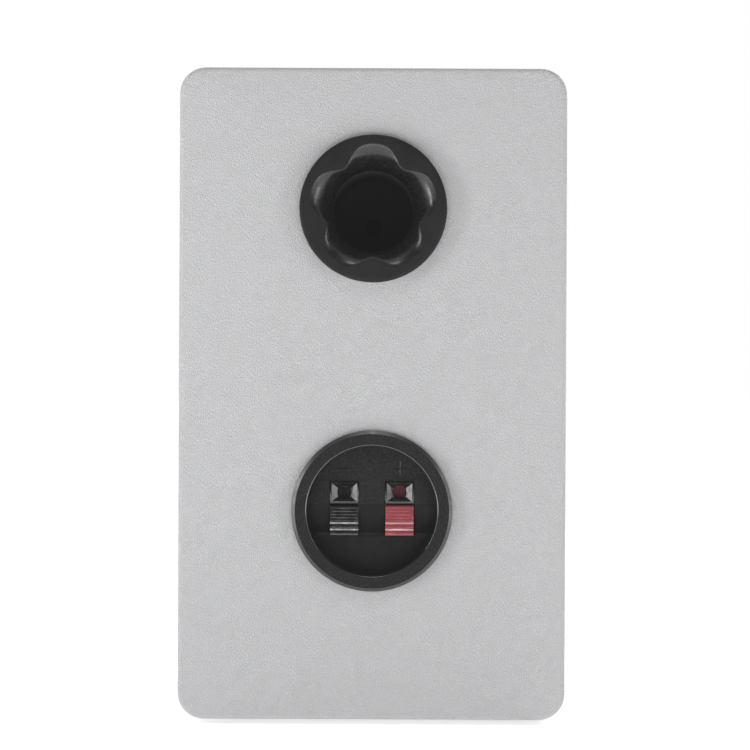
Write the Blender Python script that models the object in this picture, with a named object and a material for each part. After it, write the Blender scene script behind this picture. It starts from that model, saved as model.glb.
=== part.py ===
"""Two-way bookshelf speaker with a rear port and a round spring-clip terminal cup.

Frame: +Z up, the drivers face -Y, the port and the terminals face +Y. The origin
is at the centre of the footprint, on the surface that the feet stand on.

Pieces on the front are modelled in a frame whose +z leaves the front face, and
pieces on the rear in one whose +z leaves the rear face. In both, z = 0 is the
vinyl surface and +y is up.
"""

import math

import bmesh
import bpy
from mathutils import Vector

MM = 0.001

# Clearance between pieces that touch, and the play of pieces that move.
GAP = 0.3 * MM
PLAY = 0.4 * MM

# Cabinet.
CABINET_WIDTH = 140.0 * MM
CABINET_HEIGHT = 235.5 * MM
CABINET_DEPTH = 165.0 * MM
CORNER_RADIUS = 9.5 * MM
EDGE_RADIUS = 1.8 * MM
VINYL_THICKNESS = 0.5 * MM
BOARD_THICKNESS = 10.0 * MM
BAFFLE_THICKNESS = 15.0 * MM
REAR_PANEL_THICKNESS = 12.0 * MM
CORNER_STEPS = 4
ROUND_STEPS = 32

# Feet.
FOOT_RADIUS = 8.0 * MM
FOOT_THICKNESS = 1.5 * MM
FOOT_BEVEL = 0.4 * MM
FOOT_INSET_X = 24.0 * MM
FOOT_INSET_Y = 26.0 * MM

# Heights of the driver, port and terminal axes above the cabinet's underside.
WOOFER_HEIGHT = 76.0 * MM
TWEETER_HEIGHT = 184.5 * MM
PORT_HEIGHT = 184.5 * MM
CUP_HEIGHT = 75.5 * MM

# What the drivers have in common.
DRIVER_PROUD = 0.3 * MM
REBATE_PLAY = 0.5 * MM
SCREW_HEAD_RADIUS = 2.6 * MM
SCREW_HEAD_HEIGHT = 1.8 * MM
SCREW_SHANK_RADIUS = 1.4 * MM
SCREW_LENGTH = 12.0 * MM

# Woofer: frame, motor and moving parts.
WOOFER_BODY_RADIUS = 46.4 * MM
WOOFER_FLANGE_WIDTH = 7.6 * MM
WOOFER_SCREW_INSET = 3.1 * MM
WOOFER_SEAT_WIDTH = 1.4 * MM
WOOFER_SEAT_DEPTH = 1.7 * MM
BASKET_WALL = 1.5 * MM
BASKET_SHOULDER_DEPTH = 7.0 * MM
BASKET_SHELF_DEPTH = 25.7 * MM
BASKET_DEPTH = 32.7 * MM
BASKET_BASE_RADIUS = 34.0 * MM
BASKET_WINDOW_WIDTH = 20.0 * MM
BASKET_WINDOW_SHY = 2.5 * MM
SPIDER_SHELF_WIDTH = 6.0 * MM
SPIDER_WAVES = 6
SPIDER_RIPPLE = 1.2 * MM
WOOFER_PLATE_RADIUS = 33.0 * MM
WOOFER_PLATE_THICKNESS = 4.0 * MM
WOOFER_MAGNET_RADIUS = 35.0 * MM
WOOFER_MAGNET_HOLE = 18.0 * MM
WOOFER_MAGNET_THICKNESS = 13.0 * MM
WOOFER_POLE_RADIUS = 11.9 * MM
WOOFER_VENT_RADIUS = 4.0 * MM
WOOFER_COIL_WALL = 0.3 * MM
WOOFER_WINDING = 0.75 * MM
WOOFER_COIL_LENGTH = 18.5 * MM
WOOFER_WINDING_LENGTH = 10.0 * MM
CONE_INSET = 8.4 * MM
CONE_EDGE_DEPTH = 2.0 * MM
CONE_NECK_DEPTH = 22.0 * MM
CONE_WALL = 1.0 * MM
CONE_FLARE = 1.35
CONE_STEPS = 4
DUST_CAP_RADIUS = 17.0 * MM
DUST_CAP_RISE = 6.0 * MM
DUST_CAP_WALL = 0.6 * MM
SURROUND_WALL = 0.5 * MM
SURROUND_LIP = 2.2 * MM
SURROUND_WIDTH = 5.5 * MM
TRIM_RING_HEIGHT = 1.7 * MM
LEAD_STRIP_INSET = 6.0 * MM
LEAD_STRIP_WIDTH = 18.0 * MM
LEAD_STRIP_SHEET = 1.5 * MM

# Tweeter.
TWEETER_RADIUS = 38.0 * MM
TWEETER_SCREW_CIRCLE = 34.3 * MM
TWEETER_PLATE_THICKNESS = 5.0 * MM
TWEETER_THROAT_RADIUS = 15.6 * MM
TWEETER_MOUTH_RADIUS = 25.0 * MM
TWEETER_MOTOR_RADIUS = 29.5 * MM
TWEETER_TOP_PLATE_THICKNESS = 4.0 * MM
TWEETER_MAGNET_THICKNESS = 14.0 * MM
TWEETER_BACK_PLATE_THICKNESS = 5.0 * MM
TWEETER_POLE_RADIUS = 11.6 * MM
TWEETER_VENT_RADIUS = 3.5 * MM
DOME_RADIUS = 12.4 * MM
DOME_RISE = 4.6 * MM
DOME_WALL = 0.5 * MM
TWEETER_WINDING = 0.8 * MM
TWEETER_LIP = 0.6 * MM
TWEETER_LIP_REACH = 3.0 * MM

# Port.
PORT_FLANGE_RADIUS = 26.6 * MM
PORT_PROUD = 4.0 * MM
PORT_THROAT_RADIUS = 15.0 * MM
PORT_WALL = 2.0 * MM
PORT_BODY_RADIUS = 24.0 * MM
PORT_LOBE_RADIUS = 20.45 * MM
PORT_LOBE_SWELL = 2.05 * MM
PORT_LOBES = 5
PORT_STEPS = 50
PORT_ROUND = 0.8 * MM
PORT_FLARE_DEPTH = 16.0 * MM
PORT_COLLAR_DEPTH = 18.0 * MM
PORT_TUBE_LENGTH = 56.0 * MM

# Terminal cup.
CUP_RADIUS = 29.0 * MM
CUP_STEPS = 36
CUP_PROUD = 3.0 * MM
CUP_BEVEL = 1.1 * MM
CUP_RECESS_RADIUS = 23.5 * MM
CUP_BODY_RADIUS = 26.0 * MM
CUP_FLOOR_DEPTH = 7.0 * MM
CUP_FLOOR_THICKNESS = 2.5 * MM
CUP_BODY_DEPTH = 24.0 * MM
CUP_WALL = 2.0 * MM
GASKET_THICKNESS = 0.8 * MM
POLE_PITCH = 20.0 * MM
RIDGE_TOP = 2.3 * MM
RIDGE_BOTTOM = -8.1 * MM
UPPER_FLOOR_DEPTH = 3.2 * MM
RIDGE_MIDDLE_DEPTH = 3.4 * MM
RIDGE_QUARTER_DEPTH = 3.9 * MM
RIDGE_EDGE_DEPTH = 4.9 * MM
LEVER_WIDTH = 10.2 * MM
LEVER_TOP = 1.9 * MM
LEVER_FACE_DEPTH = 2.4 * MM
LEVER_BARREL_RADIUS = 2.6 * MM
LEVER_PIN_RADIUS = 1.0 * MM
LEVER_PIN_REACH = 1.0 * MM
LEVER_CROWN = 0.3 * MM
LEVER_ARM_INSET = 2.1 * MM
LEVER_ARM_THICKNESS = 1.3 * MM
PIVOT_Y = -6.4 * MM
PIVOT_DEPTH = 6.0 * MM
GUIDE_BOTTOM = 2.5 * MM
GUIDE_TOP = 10.9 * MM
GUIDE_FACE_DEPTH = 3.5 * MM
GUIDE_THICKNESS = 6.6 * MM
FUNNEL_WIDTH = 9.6 * MM
FUNNEL_HEIGHT = 7.4 * MM
FUNNEL_NECK_WIDTH = 5.6 * MM
FUNNEL_NECK_HEIGHT = 5.3 * MM
FUNNEL_DEPTH = 2.4 * MM
WIRE_HOLE_RADIUS = 2.5 * MM
CONTACT_WIDTH = 5.0 * MM
CONTACT_THICKNESS = 0.8 * MM
CONTACT_FOOT = 2.0 * MM
CONTACT_TAB_REACH = 7.0 * MM
SPRING_WIDTH = 4.0 * MM
SPRING_THICKNESS = 0.5 * MM

# Crossover, wiring and damping.
BOARD_WIDTH = 84.0 * MM
BOARD_LENGTH = 50.0 * MM
BOARD_SHEET = 1.6 * MM
BOARD_START = 64.0 * MM
INDUCTOR_RADIUS = 15.0 * MM
INDUCTOR_HOLE = 6.0 * MM
INDUCTOR_HEIGHT = 13.0 * MM
CAPACITOR_RADIUS = 6.5 * MM
CAPACITOR_LENGTH = 30.0 * MM
RESISTOR_SIZE = (26.0 * MM, 7.0 * MM, 6.5 * MM)
PART_SPACING = 2.0 * MM
CABLE_RADIUS = 1.8 * MM
TINSEL_RADIUS = 0.5 * MM
DAMPING_SIZE = (14.0 * MM, 70.0 * MM, 90.0 * MM)
DAMPING_LIFT = 38.0 * MM

# Places that follow from the sizes above.
STAND = FOOT_THICKNESS + GAP
SKIN = VINYL_THICKNESS + GAP
HALF_WIDTH = CABINET_WIDTH / 2
HALF_HEIGHT = CABINET_HEIGHT / 2
TRIM_TOP = TRIM_RING_HEIGHT - WOOFER_SEAT_DEPTH + SURROUND_WALL + 2 * GAP
SCREW_TOP = DRIVER_PROUD + GAP + SCREW_HEAD_HEIGHT
FRONT_PROUD = max(TRIM_TOP, SCREW_TOP)
FRONT_Y = -(CABINET_DEPTH + PORT_PROUD - FRONT_PROUD) / 2
REAR_Y = FRONT_Y + CABINET_DEPTH
BAFFLE_BACK = SKIN + BAFFLE_THICKNESS
REAR_PANEL_BACK = SKIN + REAR_PANEL_THICKNESS
FLOOR_Z = STAND + SKIN + BOARD_THICKNESS
WOOFER_RADIUS = WOOFER_BODY_RADIUS + WOOFER_FLANGE_WIDTH
WOOFER_SCREW_CIRCLE = WOOFER_RADIUS - WOOFER_SCREW_INSET
WOOFER_SEAT_RADIUS = WOOFER_BODY_RADIUS + WOOFER_SEAT_WIDTH
CONE_RADIUS = WOOFER_BODY_RADIUS - CONE_INSET
WOOFER_COIL_INNER = WOOFER_POLE_RADIUS + PLAY
WOOFER_COIL_OUTER = WOOFER_COIL_INNER + WOOFER_COIL_WALL + WOOFER_WINDING
CONE_NECK_RADIUS = WOOFER_COIL_INNER + WOOFER_COIL_WALL + GAP
FACING_FRONT = (math.radians(90), 0, 0)
FACING_REAR = (math.radians(90), 0, math.radians(180))

MATERIALS = {
    "white_vinyl": ((0.52, 0.52, 0.53), 0.55, 0.0),
    "mdf": ((0.42, 0.29, 0.17), 0.85, 0.0),
    "satin_black_plastic": ((0.028, 0.028, 0.03), 0.38, 0.0),
    "spark_black_plastic": ((0.026, 0.026, 0.028), 0.55, 0.0),
    "gloss_black_plastic": ((0.015, 0.015, 0.016), 0.2, 0.0),
    "red_plastic": ((0.32, 0.03, 0.045), 0.35, 0.0),
    "black_rubber": ((0.02, 0.02, 0.02), 0.7, 0.0),
    "foam_gasket": ((0.05, 0.05, 0.05), 0.9, 0.0),
    "spring_steel": ((0.62, 0.62, 0.63), 0.3, 1.0),
    "zinc_steel": ((0.55, 0.55, 0.52), 0.35, 1.0),
    "black_steel": ((0.03, 0.03, 0.03), 0.45, 0.6),
    "brass": ((0.72, 0.52, 0.22), 0.3, 1.0),
    "ferrite": ((0.05, 0.05, 0.055), 0.75, 0.0),
    "cone_paper": ((0.03, 0.03, 0.032), 0.8, 0.0),
    "spider_cloth": ((0.5, 0.35, 0.12), 0.9, 0.0),
    "copper_coil": ((0.7, 0.33, 0.18), 0.35, 1.0),
    "silk_dome": ((0.02, 0.02, 0.022), 0.6, 0.0),
    "circuit_board": ((0.05, 0.22, 0.1), 0.5, 0.0),
    "capacitor_film": ((0.6, 0.12, 0.05), 0.4, 0.0),
    "cement": ((0.7, 0.68, 0.62), 0.9, 0.0),
    "cable_jacket": ((0.35, 0.02, 0.02), 0.5, 0.0),
    "wadding": ((0.75, 0.75, 0.72), 1.0, 0.0),
}


def material(name):
    """The Principled material of that name, made on first use."""
    found = bpy.data.materials.get(name)
    if found:
        return found
    colour, roughness, metallic = MATERIALS[name]
    made = bpy.data.materials.new(name)
    made.use_nodes = True
    shader = made.node_tree.nodes["Principled BSDF"]
    shader.inputs["Base Color"].default_value = (*colour, 1.0)
    shader.inputs["Roughness"].default_value = roughness
    shader.inputs["Metallic"].default_value = metallic
    return made


def empty(name, location, rotation=(0, 0, 0), parent=None):
    """An empty that carries the pieces of one assembly."""
    marker = bpy.data.objects.new(name, None)
    marker.location = location
    marker.rotation_euler = rotation
    marker.parent = parent
    bpy.context.collection.objects.link(marker)
    return marker


def circle(radius, z, steps=ROUND_STEPS):
    """A loop of points round the z axis."""
    turns = [2 * math.pi * i / steps for i in range(steps)]
    return [(radius * math.cos(a), radius * math.sin(a), z) for a in turns]


def rounded_rectangle(inset, z):
    """The cabinet's outline, drawn in by inset."""
    radius = CORNER_RADIUS - inset
    across = HALF_WIDTH - CORNER_RADIUS
    upright = HALF_HEIGHT - CORNER_RADIUS
    corners = ((across, upright), (-across, upright), (-across, -upright), (across, -upright))
    points = []
    for quarter, (x, y) in enumerate(corners):
        for step in range(CORNER_STEPS + 1):
            angle = math.radians(90) * (quarter + step / CORNER_STEPS)
            points.append((x + radius * math.cos(angle), y + radius * math.sin(angle), z))
    return points


def lobed_circle(z, share, steps=PORT_STEPS):
    """The port's flower outline at share 0, closing to its round throat at share 1."""
    points = []
    for i in range(steps):
        angle = 2 * math.pi * i / steps
        lobe = math.cos(PORT_LOBES * (angle - math.pi / 2))
        edge = PORT_LOBE_RADIUS + PORT_LOBE_SWELL * lobe
        radius = edge + (PORT_THROAT_RADIUS - edge) * share
        points.append((radius * math.cos(angle), radius * math.sin(angle), z))
    return points


def loft(loops, ring=False):
    """A closed mesh through equal loops: capped at both ends, or joined end to end."""
    mesh = bmesh.new()
    rows = [[mesh.verts.new(point) for point in loop] for loop in loops]
    pairs = list(zip(rows, rows[1:]))
    if ring:
        pairs.append((rows[-1], rows[0]))
    else:
        mesh.faces.new(rows[0])
        mesh.faces.new(rows[-1])
    for low, high in pairs:
        for i in range(len(low)):
            j = (i + 1) % len(low)
            mesh.faces.new((low[i], low[j], high[j], high[i]))
    bmesh.ops.recalc_face_normals(mesh, faces=mesh.faces)
    return mesh


def turned(outline, steps=ROUND_STEPS):
    """A ring turned round the z axis from a closed outline of (radius, z) points."""
    return loft([circle(radius, z, steps) for radius, z in outline], ring=True)


def turned_shell(outline, steps=ROUND_STEPS):
    """A cap turned round the z axis, whose outline starts and ends near the axis."""
    return loft([circle(radius, z, steps) for radius, z in outline])


def prism_x(outline, low, high):
    """A closed outline of (y, z) points, extruded along x."""
    return loft([[(x, y, z) for y, z in outline] for x in (low, high)])


def prism_z(outline, low, high):
    """A closed outline of (x, y) points, extruded along z."""
    return loft([[(x, y, z) for x, y in outline] for z in (low, high)])


def block(low, high):
    """A box between two opposite corners."""
    corners = ((low[0], low[1]), (high[0], low[1]), (high[0], high[1]), (low[0], high[1]))
    return prism_z(corners, low[2], high[2])


def arc(centre, radius, start, end, steps):
    """Points on an arc, angles in degrees."""
    points = []
    for i in range(steps + 1):
        angle = math.radians(start + (end - start) * i / steps)
        points.append((centre[0] + radius * math.cos(angle), centre[1] + radius * math.sin(angle)))
    return points


def place(name, mesh, finish, parent=None, location=(0, 0, 0), rotation=(0, 0, 0)):
    """Turn a bmesh into a named object with its own material."""
    data = bpy.data.meshes.new(name)
    mesh.to_mesh(data)
    mesh.free()
    data.shade_smooth()
    data.set_sharp_from_angle(angle=math.radians(35))
    piece = bpy.data.objects.new(name, data)
    piece.location = location
    piece.rotation_euler = rotation
    piece.parent = parent
    bpy.context.collection.objects.link(piece)
    if finish:
        data.materials.append(material(finish))
    return piece


def shape_with(target, tool, operation="DIFFERENCE"):
    """Cut a tool's shape out of a piece, or join it to the piece."""
    modifier = target.modifiers.new(tool.name, "BOOLEAN")
    modifier.operation = operation
    modifier.solver = "EXACT"
    modifier.object = tool
    tool.hide_render = True
    tool.display_type = "WIRE"


def tool(name, mesh, parent=None, location=(0, 0, 0), rotation=(0, 0, 0)):
    """A hidden shape that cuts or joins other pieces."""
    return place(name, mesh, None, parent, location, rotation)


def smooth_route(points, pitch):
    """Points about pitch apart on a smooth curve through a route's own points."""
    route = [Vector(p) for p in points]
    route = [2 * route[0] - route[1]] + route + [2 * route[-1] - route[-2]]
    path = []
    for i in range(1, len(route) - 2):
        a, b, c, d = route[i - 1:i + 3]
        steps = max(1, round((c - b).length / pitch))
        for step in range(steps):
            t = step / steps
            path.append(0.5 * (2 * b + (c - a) * t + (2 * a - 5 * b + 4 * c - d) * t * t
                               + (3 * b - a - 3 * c + d) * t * t * t))
    path.append(route[-2])
    return path


def cable(name, points, radius, finish, parent=None):
    """A round lead along a smooth route, closed at both ends."""
    path = smooth_route(points, 5 * radius)
    curve = bpy.data.curves.new(name, "CURVE")
    curve.dimensions = "3D"
    curve.bevel_depth = radius
    curve.bevel_resolution = 2
    curve.use_fill_caps = True
    spline = curve.splines.new("POLY")
    spline.points.add(len(path) - 1)
    for point, place_at in zip(spline.points, path):
        point.co = (*place_at, 1.0)
    curve.materials.append(material(finish))
    lead = bpy.data.objects.new(name, curve)
    lead.parent = parent
    bpy.context.collection.objects.link(lead)
    return lead


def edge_loops(inset, back):
    """Loops of a face panel from its back to its rounded front edge, z = 0 outermost."""
    reach = EDGE_RADIUS - inset
    loops = [rounded_rectangle(inset, back)]
    for angle in (0, 45, 90):
        drawn_in = EDGE_RADIUS - reach * math.cos(math.radians(angle))
        height = reach * math.sin(math.radians(angle)) - EDGE_RADIUS
        loops.append(rounded_rectangle(drawn_in, height))
    return loops


def face_skin(name, back, frame):
    """A vinyl tray over a face panel, its rim wrapped over the panel's edges."""
    outer = edge_loops(0, back)
    inner = edge_loops(VINYL_THICKNESS, back)
    return place(name, loft(outer[::-1] + inner), "white_vinyl", frame)


def mitred_outline(half_across, half_length):
    """A board on the +u side of the shell, its corners cut on the 45 degree line."""
    radius = CORNER_RADIUS - SKIN
    shy = math.degrees(GAP / 2 / radius)
    u = half_across - radius
    v = half_length - radius
    inner_u = half_across - BOARD_THICKNESS
    inner_v = half_length - BOARD_THICKNESS - GAP / math.sqrt(2)
    upper = arc((u, v), radius, 45 - shy, 0, CORNER_STEPS)
    lower = arc((u, -v), radius, 0, shy - 45, CORNER_STEPS)
    return upper + lower + [(inner_u, -inner_v), (inner_u, inner_v)]


def build_cabinet(front, rear):
    """Boards, face panels and the vinyl over them."""
    across = HALF_WIDTH - SKIN
    upright = HALF_HEIGHT - SKIN
    near = -BAFFLE_BACK - GAP
    far = -(CABINET_DEPTH - REAR_PANEL_BACK - GAP)
    side = mitred_outline(across, upright)
    cap = mitred_outline(upright, across)
    place("right_side_panel", prism_z(side, far, near), "mdf", front)
    place("left_side_panel", prism_z([(-u, v) for u, v in side], far, near), "mdf", front)
    place("top_panel", prism_z([(v, u) for u, v in cap], far, near), "mdf", front)
    place("bottom_panel", prism_z([(v, -u) for u, v in cap], far, near), "mdf", front)
    baffle = place("front_baffle", loft(edge_loops(SKIN, -BAFFLE_BACK)), "mdf", front)
    panel = place("rear_panel", loft(edge_loops(SKIN, -REAR_PANEL_BACK)), "mdf", rear)
    front_skin = face_skin("front_vinyl_skin", -BAFFLE_BACK, front)
    rear_skin = face_skin("rear_vinyl_skin", -REAR_PANEL_BACK, rear)
    sleeve = [
        rounded_rectangle(0, near),
        rounded_rectangle(0, far),
        rounded_rectangle(VINYL_THICKNESS, far),
        rounded_rectangle(VINYL_THICKNESS, near),
    ]
    place("side_vinyl_wrap", loft(sleeve, ring=True), "white_vinyl", front)
    return baffle, panel, front_skin, rear_skin


def build_feet():
    """Four thin rubber pads, well in from the edges."""
    rim = FOOT_RADIUS - FOOT_BEVEL
    outline = [
        circle(rim, 0, 20),
        circle(FOOT_RADIUS, FOOT_BEVEL, 20),
        circle(FOOT_RADIUS, FOOT_THICKNESS, 20),
    ]
    for depth_name, y in (("front", FRONT_Y + FOOT_INSET_Y), ("rear", REAR_Y - FOOT_INSET_Y)):
        for side_name, sign in (("left", -1), ("right", 1)):
            x = sign * (HALF_WIDTH - FOOT_INSET_X)
            name = f"foot_{depth_name}_{side_name}"
            place(name, loft(outline), "black_rubber", location=(x, y, 0))


def build_screws(name, count, start, pitch_radius, bodies, frame):
    """Pan-head screws through a driver's flange into the baffle."""
    head = DRIVER_PROUD + GAP
    tip = head - SCREW_LENGTH
    outline = [
        (SCREW_SHANK_RADIUS * 0.4, tip),
        (SCREW_SHANK_RADIUS, tip + 2 * SCREW_SHANK_RADIUS),
        (SCREW_SHANK_RADIUS, head),
        (SCREW_HEAD_RADIUS, head),
        (SCREW_HEAD_RADIUS, head + 0.6 * SCREW_HEAD_HEIGHT),
        (SCREW_HEAD_RADIUS * 0.6, head + SCREW_HEAD_HEIGHT),
    ]
    hole = SCREW_SHANK_RADIUS + GAP
    for i in range(count):
        angle = math.radians(start + 360 / count * i)
        spot = (pitch_radius * math.cos(angle), pitch_radius * math.sin(angle), 0)
        place(f"{name}_screw_{i + 1}", turned_shell(outline, 10), "zinc_steel", frame, spot)
        drill = turned_shell([(hole, tip - GAP), (hole, head + GAP)], 10)
        cutter = tool(f"{name}_screw_hole_{i + 1}", drill, frame, spot)
        for body in bodies:
            shape_with(body, cutter)


def cone_z(radius):
    """Height of the cone's front surface, flaring from its neck to its edge."""
    share = min(1, (radius - CONE_NECK_RADIUS) / (CONE_RADIUS - CONE_NECK_RADIUS))
    return -CONE_EDGE_DEPTH - (CONE_NECK_DEPTH - CONE_EDGE_DEPTH) * (1 - share) ** CONE_FLARE


def dome_arc(radius, base, rise, steps):
    """(radius, z) points of a spherical cap from its rim to near its crown."""
    sphere = (radius * radius + rise * rise) / (2 * rise)
    rim = math.degrees(math.acos((sphere - rise) / sphere))
    points = []
    for i in range(steps + 1):
        angle = math.radians(rim * (1 - 0.94 * i / steps))
        points.append((sphere * math.sin(angle), base + rise - sphere * (1 - math.cos(angle))))
    return points


def build_woofer(frame, baffle, skin):
    """Woofer: frame and motor, and the cone assembly that slides on its axis."""
    seat = -WOOFER_SEAT_DEPTH
    back = seat - BASKET_WALL
    throat = CONE_RADIUS + SURROUND_WIDTH
    inner_wall = WOOFER_BODY_RADIUS - BASKET_WALL
    shoulder = -BASKET_SHOULDER_DEPTH
    shelf = -BASKET_SHELF_DEPTH
    shelf_inner = BASKET_BASE_RADIUS - SPIDER_SHELF_WIDTH
    base_inner = BASKET_BASE_RADIUS - BASKET_WALL
    base = -BASKET_DEPTH
    plate_hole = WOOFER_COIL_OUTER + PLAY
    basket = place("woofer_basket", turned([
        (WOOFER_RADIUS, DRIVER_PROUD),
        (WOOFER_RADIUS, back),
        (WOOFER_BODY_RADIUS, back),
        (WOOFER_BODY_RADIUS, shoulder),
        (BASKET_BASE_RADIUS, shelf),
        (BASKET_BASE_RADIUS, base),
        (plate_hole + 2 * MM, base),
        (plate_hole + 2 * MM, base + BASKET_WALL),
        (base_inner, base + BASKET_WALL),
        (base_inner, shelf - BASKET_WALL),
        (shelf_inner, shelf - BASKET_WALL),
        (shelf_inner, shelf),
        (base_inner, shelf),
        (inner_wall, shoulder),
        (inner_wall, back),
        (throat, back),
        (throat, seat),
        (WOOFER_SEAT_RADIUS, seat),
        (WOOFER_SEAT_RADIUS, DRIVER_PROUD),
    ]), "black_steel", frame)
    half = BASKET_WINDOW_WIDTH / 2
    reach = WOOFER_BODY_RADIUS + BASKET_WALL
    window_top = shoulder - BASKET_WINDOW_SHY
    window_base = shelf + BASKET_WINDOW_SHY
    for turn in (30, 90, 150):
        bar = block((-reach, -half, window_base), (reach, half, window_top))
        rotation = (0, 0, math.radians(turn))
        shape_with(basket, tool(f"basket_window_{turn}", bar, frame, rotation=rotation))

    rebate = turned_shell([(WOOFER_RADIUS + REBATE_PLAY, back - GAP),
                           (WOOFER_RADIUS + REBATE_PLAY, EDGE_RADIUS)])
    opening = turned_shell([(WOOFER_BODY_RADIUS + REBATE_PLAY, -BAFFLE_BACK - GAP),
                            (WOOFER_BODY_RADIUS + REBATE_PLAY, 0)])
    rebate_cutter = tool("woofer_rebate", rebate, frame)
    opening_cutter = tool("woofer_opening", opening, frame)
    shape_with(baffle, rebate_cutter)
    shape_with(baffle, opening_cutter)
    shape_with(skin, rebate_cutter)

    plate_top = base - GAP
    plate_base = plate_top - WOOFER_PLATE_THICKNESS
    magnet_top = plate_base - GAP
    magnet_base = magnet_top - WOOFER_MAGNET_THICKNESS
    yoke_top = magnet_base - GAP
    yoke_base = yoke_top - WOOFER_PLATE_THICKNESS
    place("woofer_top_plate", turned([
        (plate_hole, plate_top),
        (plate_hole, plate_base),
        (WOOFER_PLATE_RADIUS, plate_base),
        (WOOFER_PLATE_RADIUS, plate_top),
    ]), "zinc_steel", frame)
    place("woofer_magnet", turned([
        (WOOFER_MAGNET_HOLE, magnet_top),
        (WOOFER_MAGNET_HOLE, magnet_base),
        (WOOFER_MAGNET_RADIUS, magnet_base),
        (WOOFER_MAGNET_RADIUS, magnet_top),
    ]), "ferrite", frame)
    place("woofer_yoke", turned([
        (WOOFER_VENT_RADIUS, yoke_base),
        (WOOFER_PLATE_RADIUS, yoke_base),
        (WOOFER_PLATE_RADIUS, yoke_top),
        (WOOFER_POLE_RADIUS, yoke_top),
        (WOOFER_POLE_RADIUS, plate_top),
        (WOOFER_VENT_RADIUS, plate_top),
    ]), "zinc_steel", frame)

    coil_top = -CONE_NECK_DEPTH + PLAY
    coil_base = coil_top - WOOFER_COIL_LENGTH
    winding_top = coil_base + WOOFER_WINDING_LENGTH
    former = WOOFER_COIL_INNER + WOOFER_COIL_WALL
    place("woofer_voice_coil", turned([
        (WOOFER_COIL_INNER, coil_top),
        (WOOFER_COIL_INNER, coil_base),
        (WOOFER_COIL_OUTER, coil_base),
        (WOOFER_COIL_OUTER, winding_top),
        (former, winding_top),
        (former, coil_top),
    ]), "copper_coil", frame)
    shares = [i / CONE_STEPS for i in range(CONE_STEPS + 1)]
    radii = [CONE_NECK_RADIUS + (CONE_RADIUS - CONE_NECK_RADIUS) * s for s in shares]
    front_side = [(r, cone_z(r)) for r in radii]
    back_side = [(r, cone_z(r) - CONE_WALL) for r in reversed(radii)]
    place("woofer_cone", turned(front_side + back_side), "cone_paper", frame)
    cap_base = cone_z(DUST_CAP_RADIUS) + GAP
    cap_outer = dome_arc(DUST_CAP_RADIUS, cap_base, DUST_CAP_RISE, 4)
    cap_inner = dome_arc(DUST_CAP_RADIUS - DUST_CAP_WALL, cap_base,
                         DUST_CAP_RISE - DUST_CAP_WALL, 4)
    place("woofer_dust_cap", turned_shell(cap_outer[::-1] + cap_inner, 24), "cone_paper", frame)

    lip_base = seat + GAP
    lip_top = lip_base + SURROUND_WALL
    rim_base = -CONE_EDGE_DEPTH + GAP
    rim_top = rim_base + SURROUND_WALL
    rim_inner = CONE_RADIUS - SURROUND_LIP
    roll_centre = ((CONE_RADIUS + throat) / 2, (rim_top + lip_base) / 2)
    roll = (throat - CONE_RADIUS) / 2
    outer_roll = arc(roll_centre, roll, 180, 0, 4)
    inner_roll = arc(roll_centre, roll - SURROUND_WALL, 0, 180, 4)
    place("woofer_surround", turned(
        [(rim_inner, rim_base), (rim_inner, rim_top)] + outer_roll
        + [(WOOFER_SEAT_RADIUS - GAP, lip_top), (WOOFER_SEAT_RADIUS - GAP, lip_base)]
        + inner_roll), "black_rubber", frame)
    place("woofer_trim_ring", turned([
        (throat + GAP, lip_top + GAP),
        (WOOFER_SEAT_RADIUS - GAP, lip_top + GAP),
        (WOOFER_SEAT_RADIUS - GAP, TRIM_TOP - PLAY),
        (WOOFER_SEAT_RADIUS - GAP - PLAY, TRIM_TOP),
        (throat + GAP + PLAY, TRIM_TOP),
        (throat + GAP, TRIM_TOP - PLAY),
    ]), "foam_gasket", frame)

    spider_inner = former + GAP
    spider_outer = base_inner - GAP
    spider_base = shelf + GAP
    upper = []
    for i in range(SPIDER_WAVES + 1):
        lift = SPIDER_RIPPLE if i % 2 else 0
        upper.append((spider_inner + (spider_outer - spider_inner) * i / SPIDER_WAVES,
                      spider_base + SURROUND_WALL + lift))
    lower = [(r, z - SURROUND_WALL) for r, z in reversed(upper)]
    place("woofer_spider", turned(upper + lower, 24), "spider_cloth", frame)

    strip_y = WOOFER_BODY_RADIUS - LEAD_STRIP_INSET
    strip_top = window_base + 4 * MM
    strip_base = base + 1 * MM
    place("woofer_terminal_strip", block(
        (-LEAD_STRIP_WIDTH / 2, strip_y, strip_base),
        (LEAD_STRIP_WIDTH / 2, strip_y + LEAD_STRIP_SHEET, strip_top)),
        "circuit_board", frame)
    landing = DUST_CAP_RADIUS + 5 * MM
    for label, side in (("a", -1), ("b", 1)):
        end_z = cone_z(math.hypot(landing, 4 * MM)) - CONE_WALL - TINSEL_RADIUS - GAP
        mid_z = (strip_top + end_z) / 2 - 3 * MM
        cable(f"woofer_tinsel_lead_{label}", [
            (side * 6 * MM, strip_y - TINSEL_RADIUS - GAP, strip_top - 1.5 * MM),
            (side * 5 * MM, strip_y - 6 * MM, mid_z + 2 * MM),
            (side * 4 * MM, (strip_y + landing) / 2 - 1 * MM, mid_z),
            (side * 4 * MM, landing, end_z),
        ], TINSEL_RADIUS, "copper_coil", frame)
    build_screws("woofer", 4, 45, WOOFER_SCREW_CIRCLE, (baffle, basket), frame)


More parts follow.
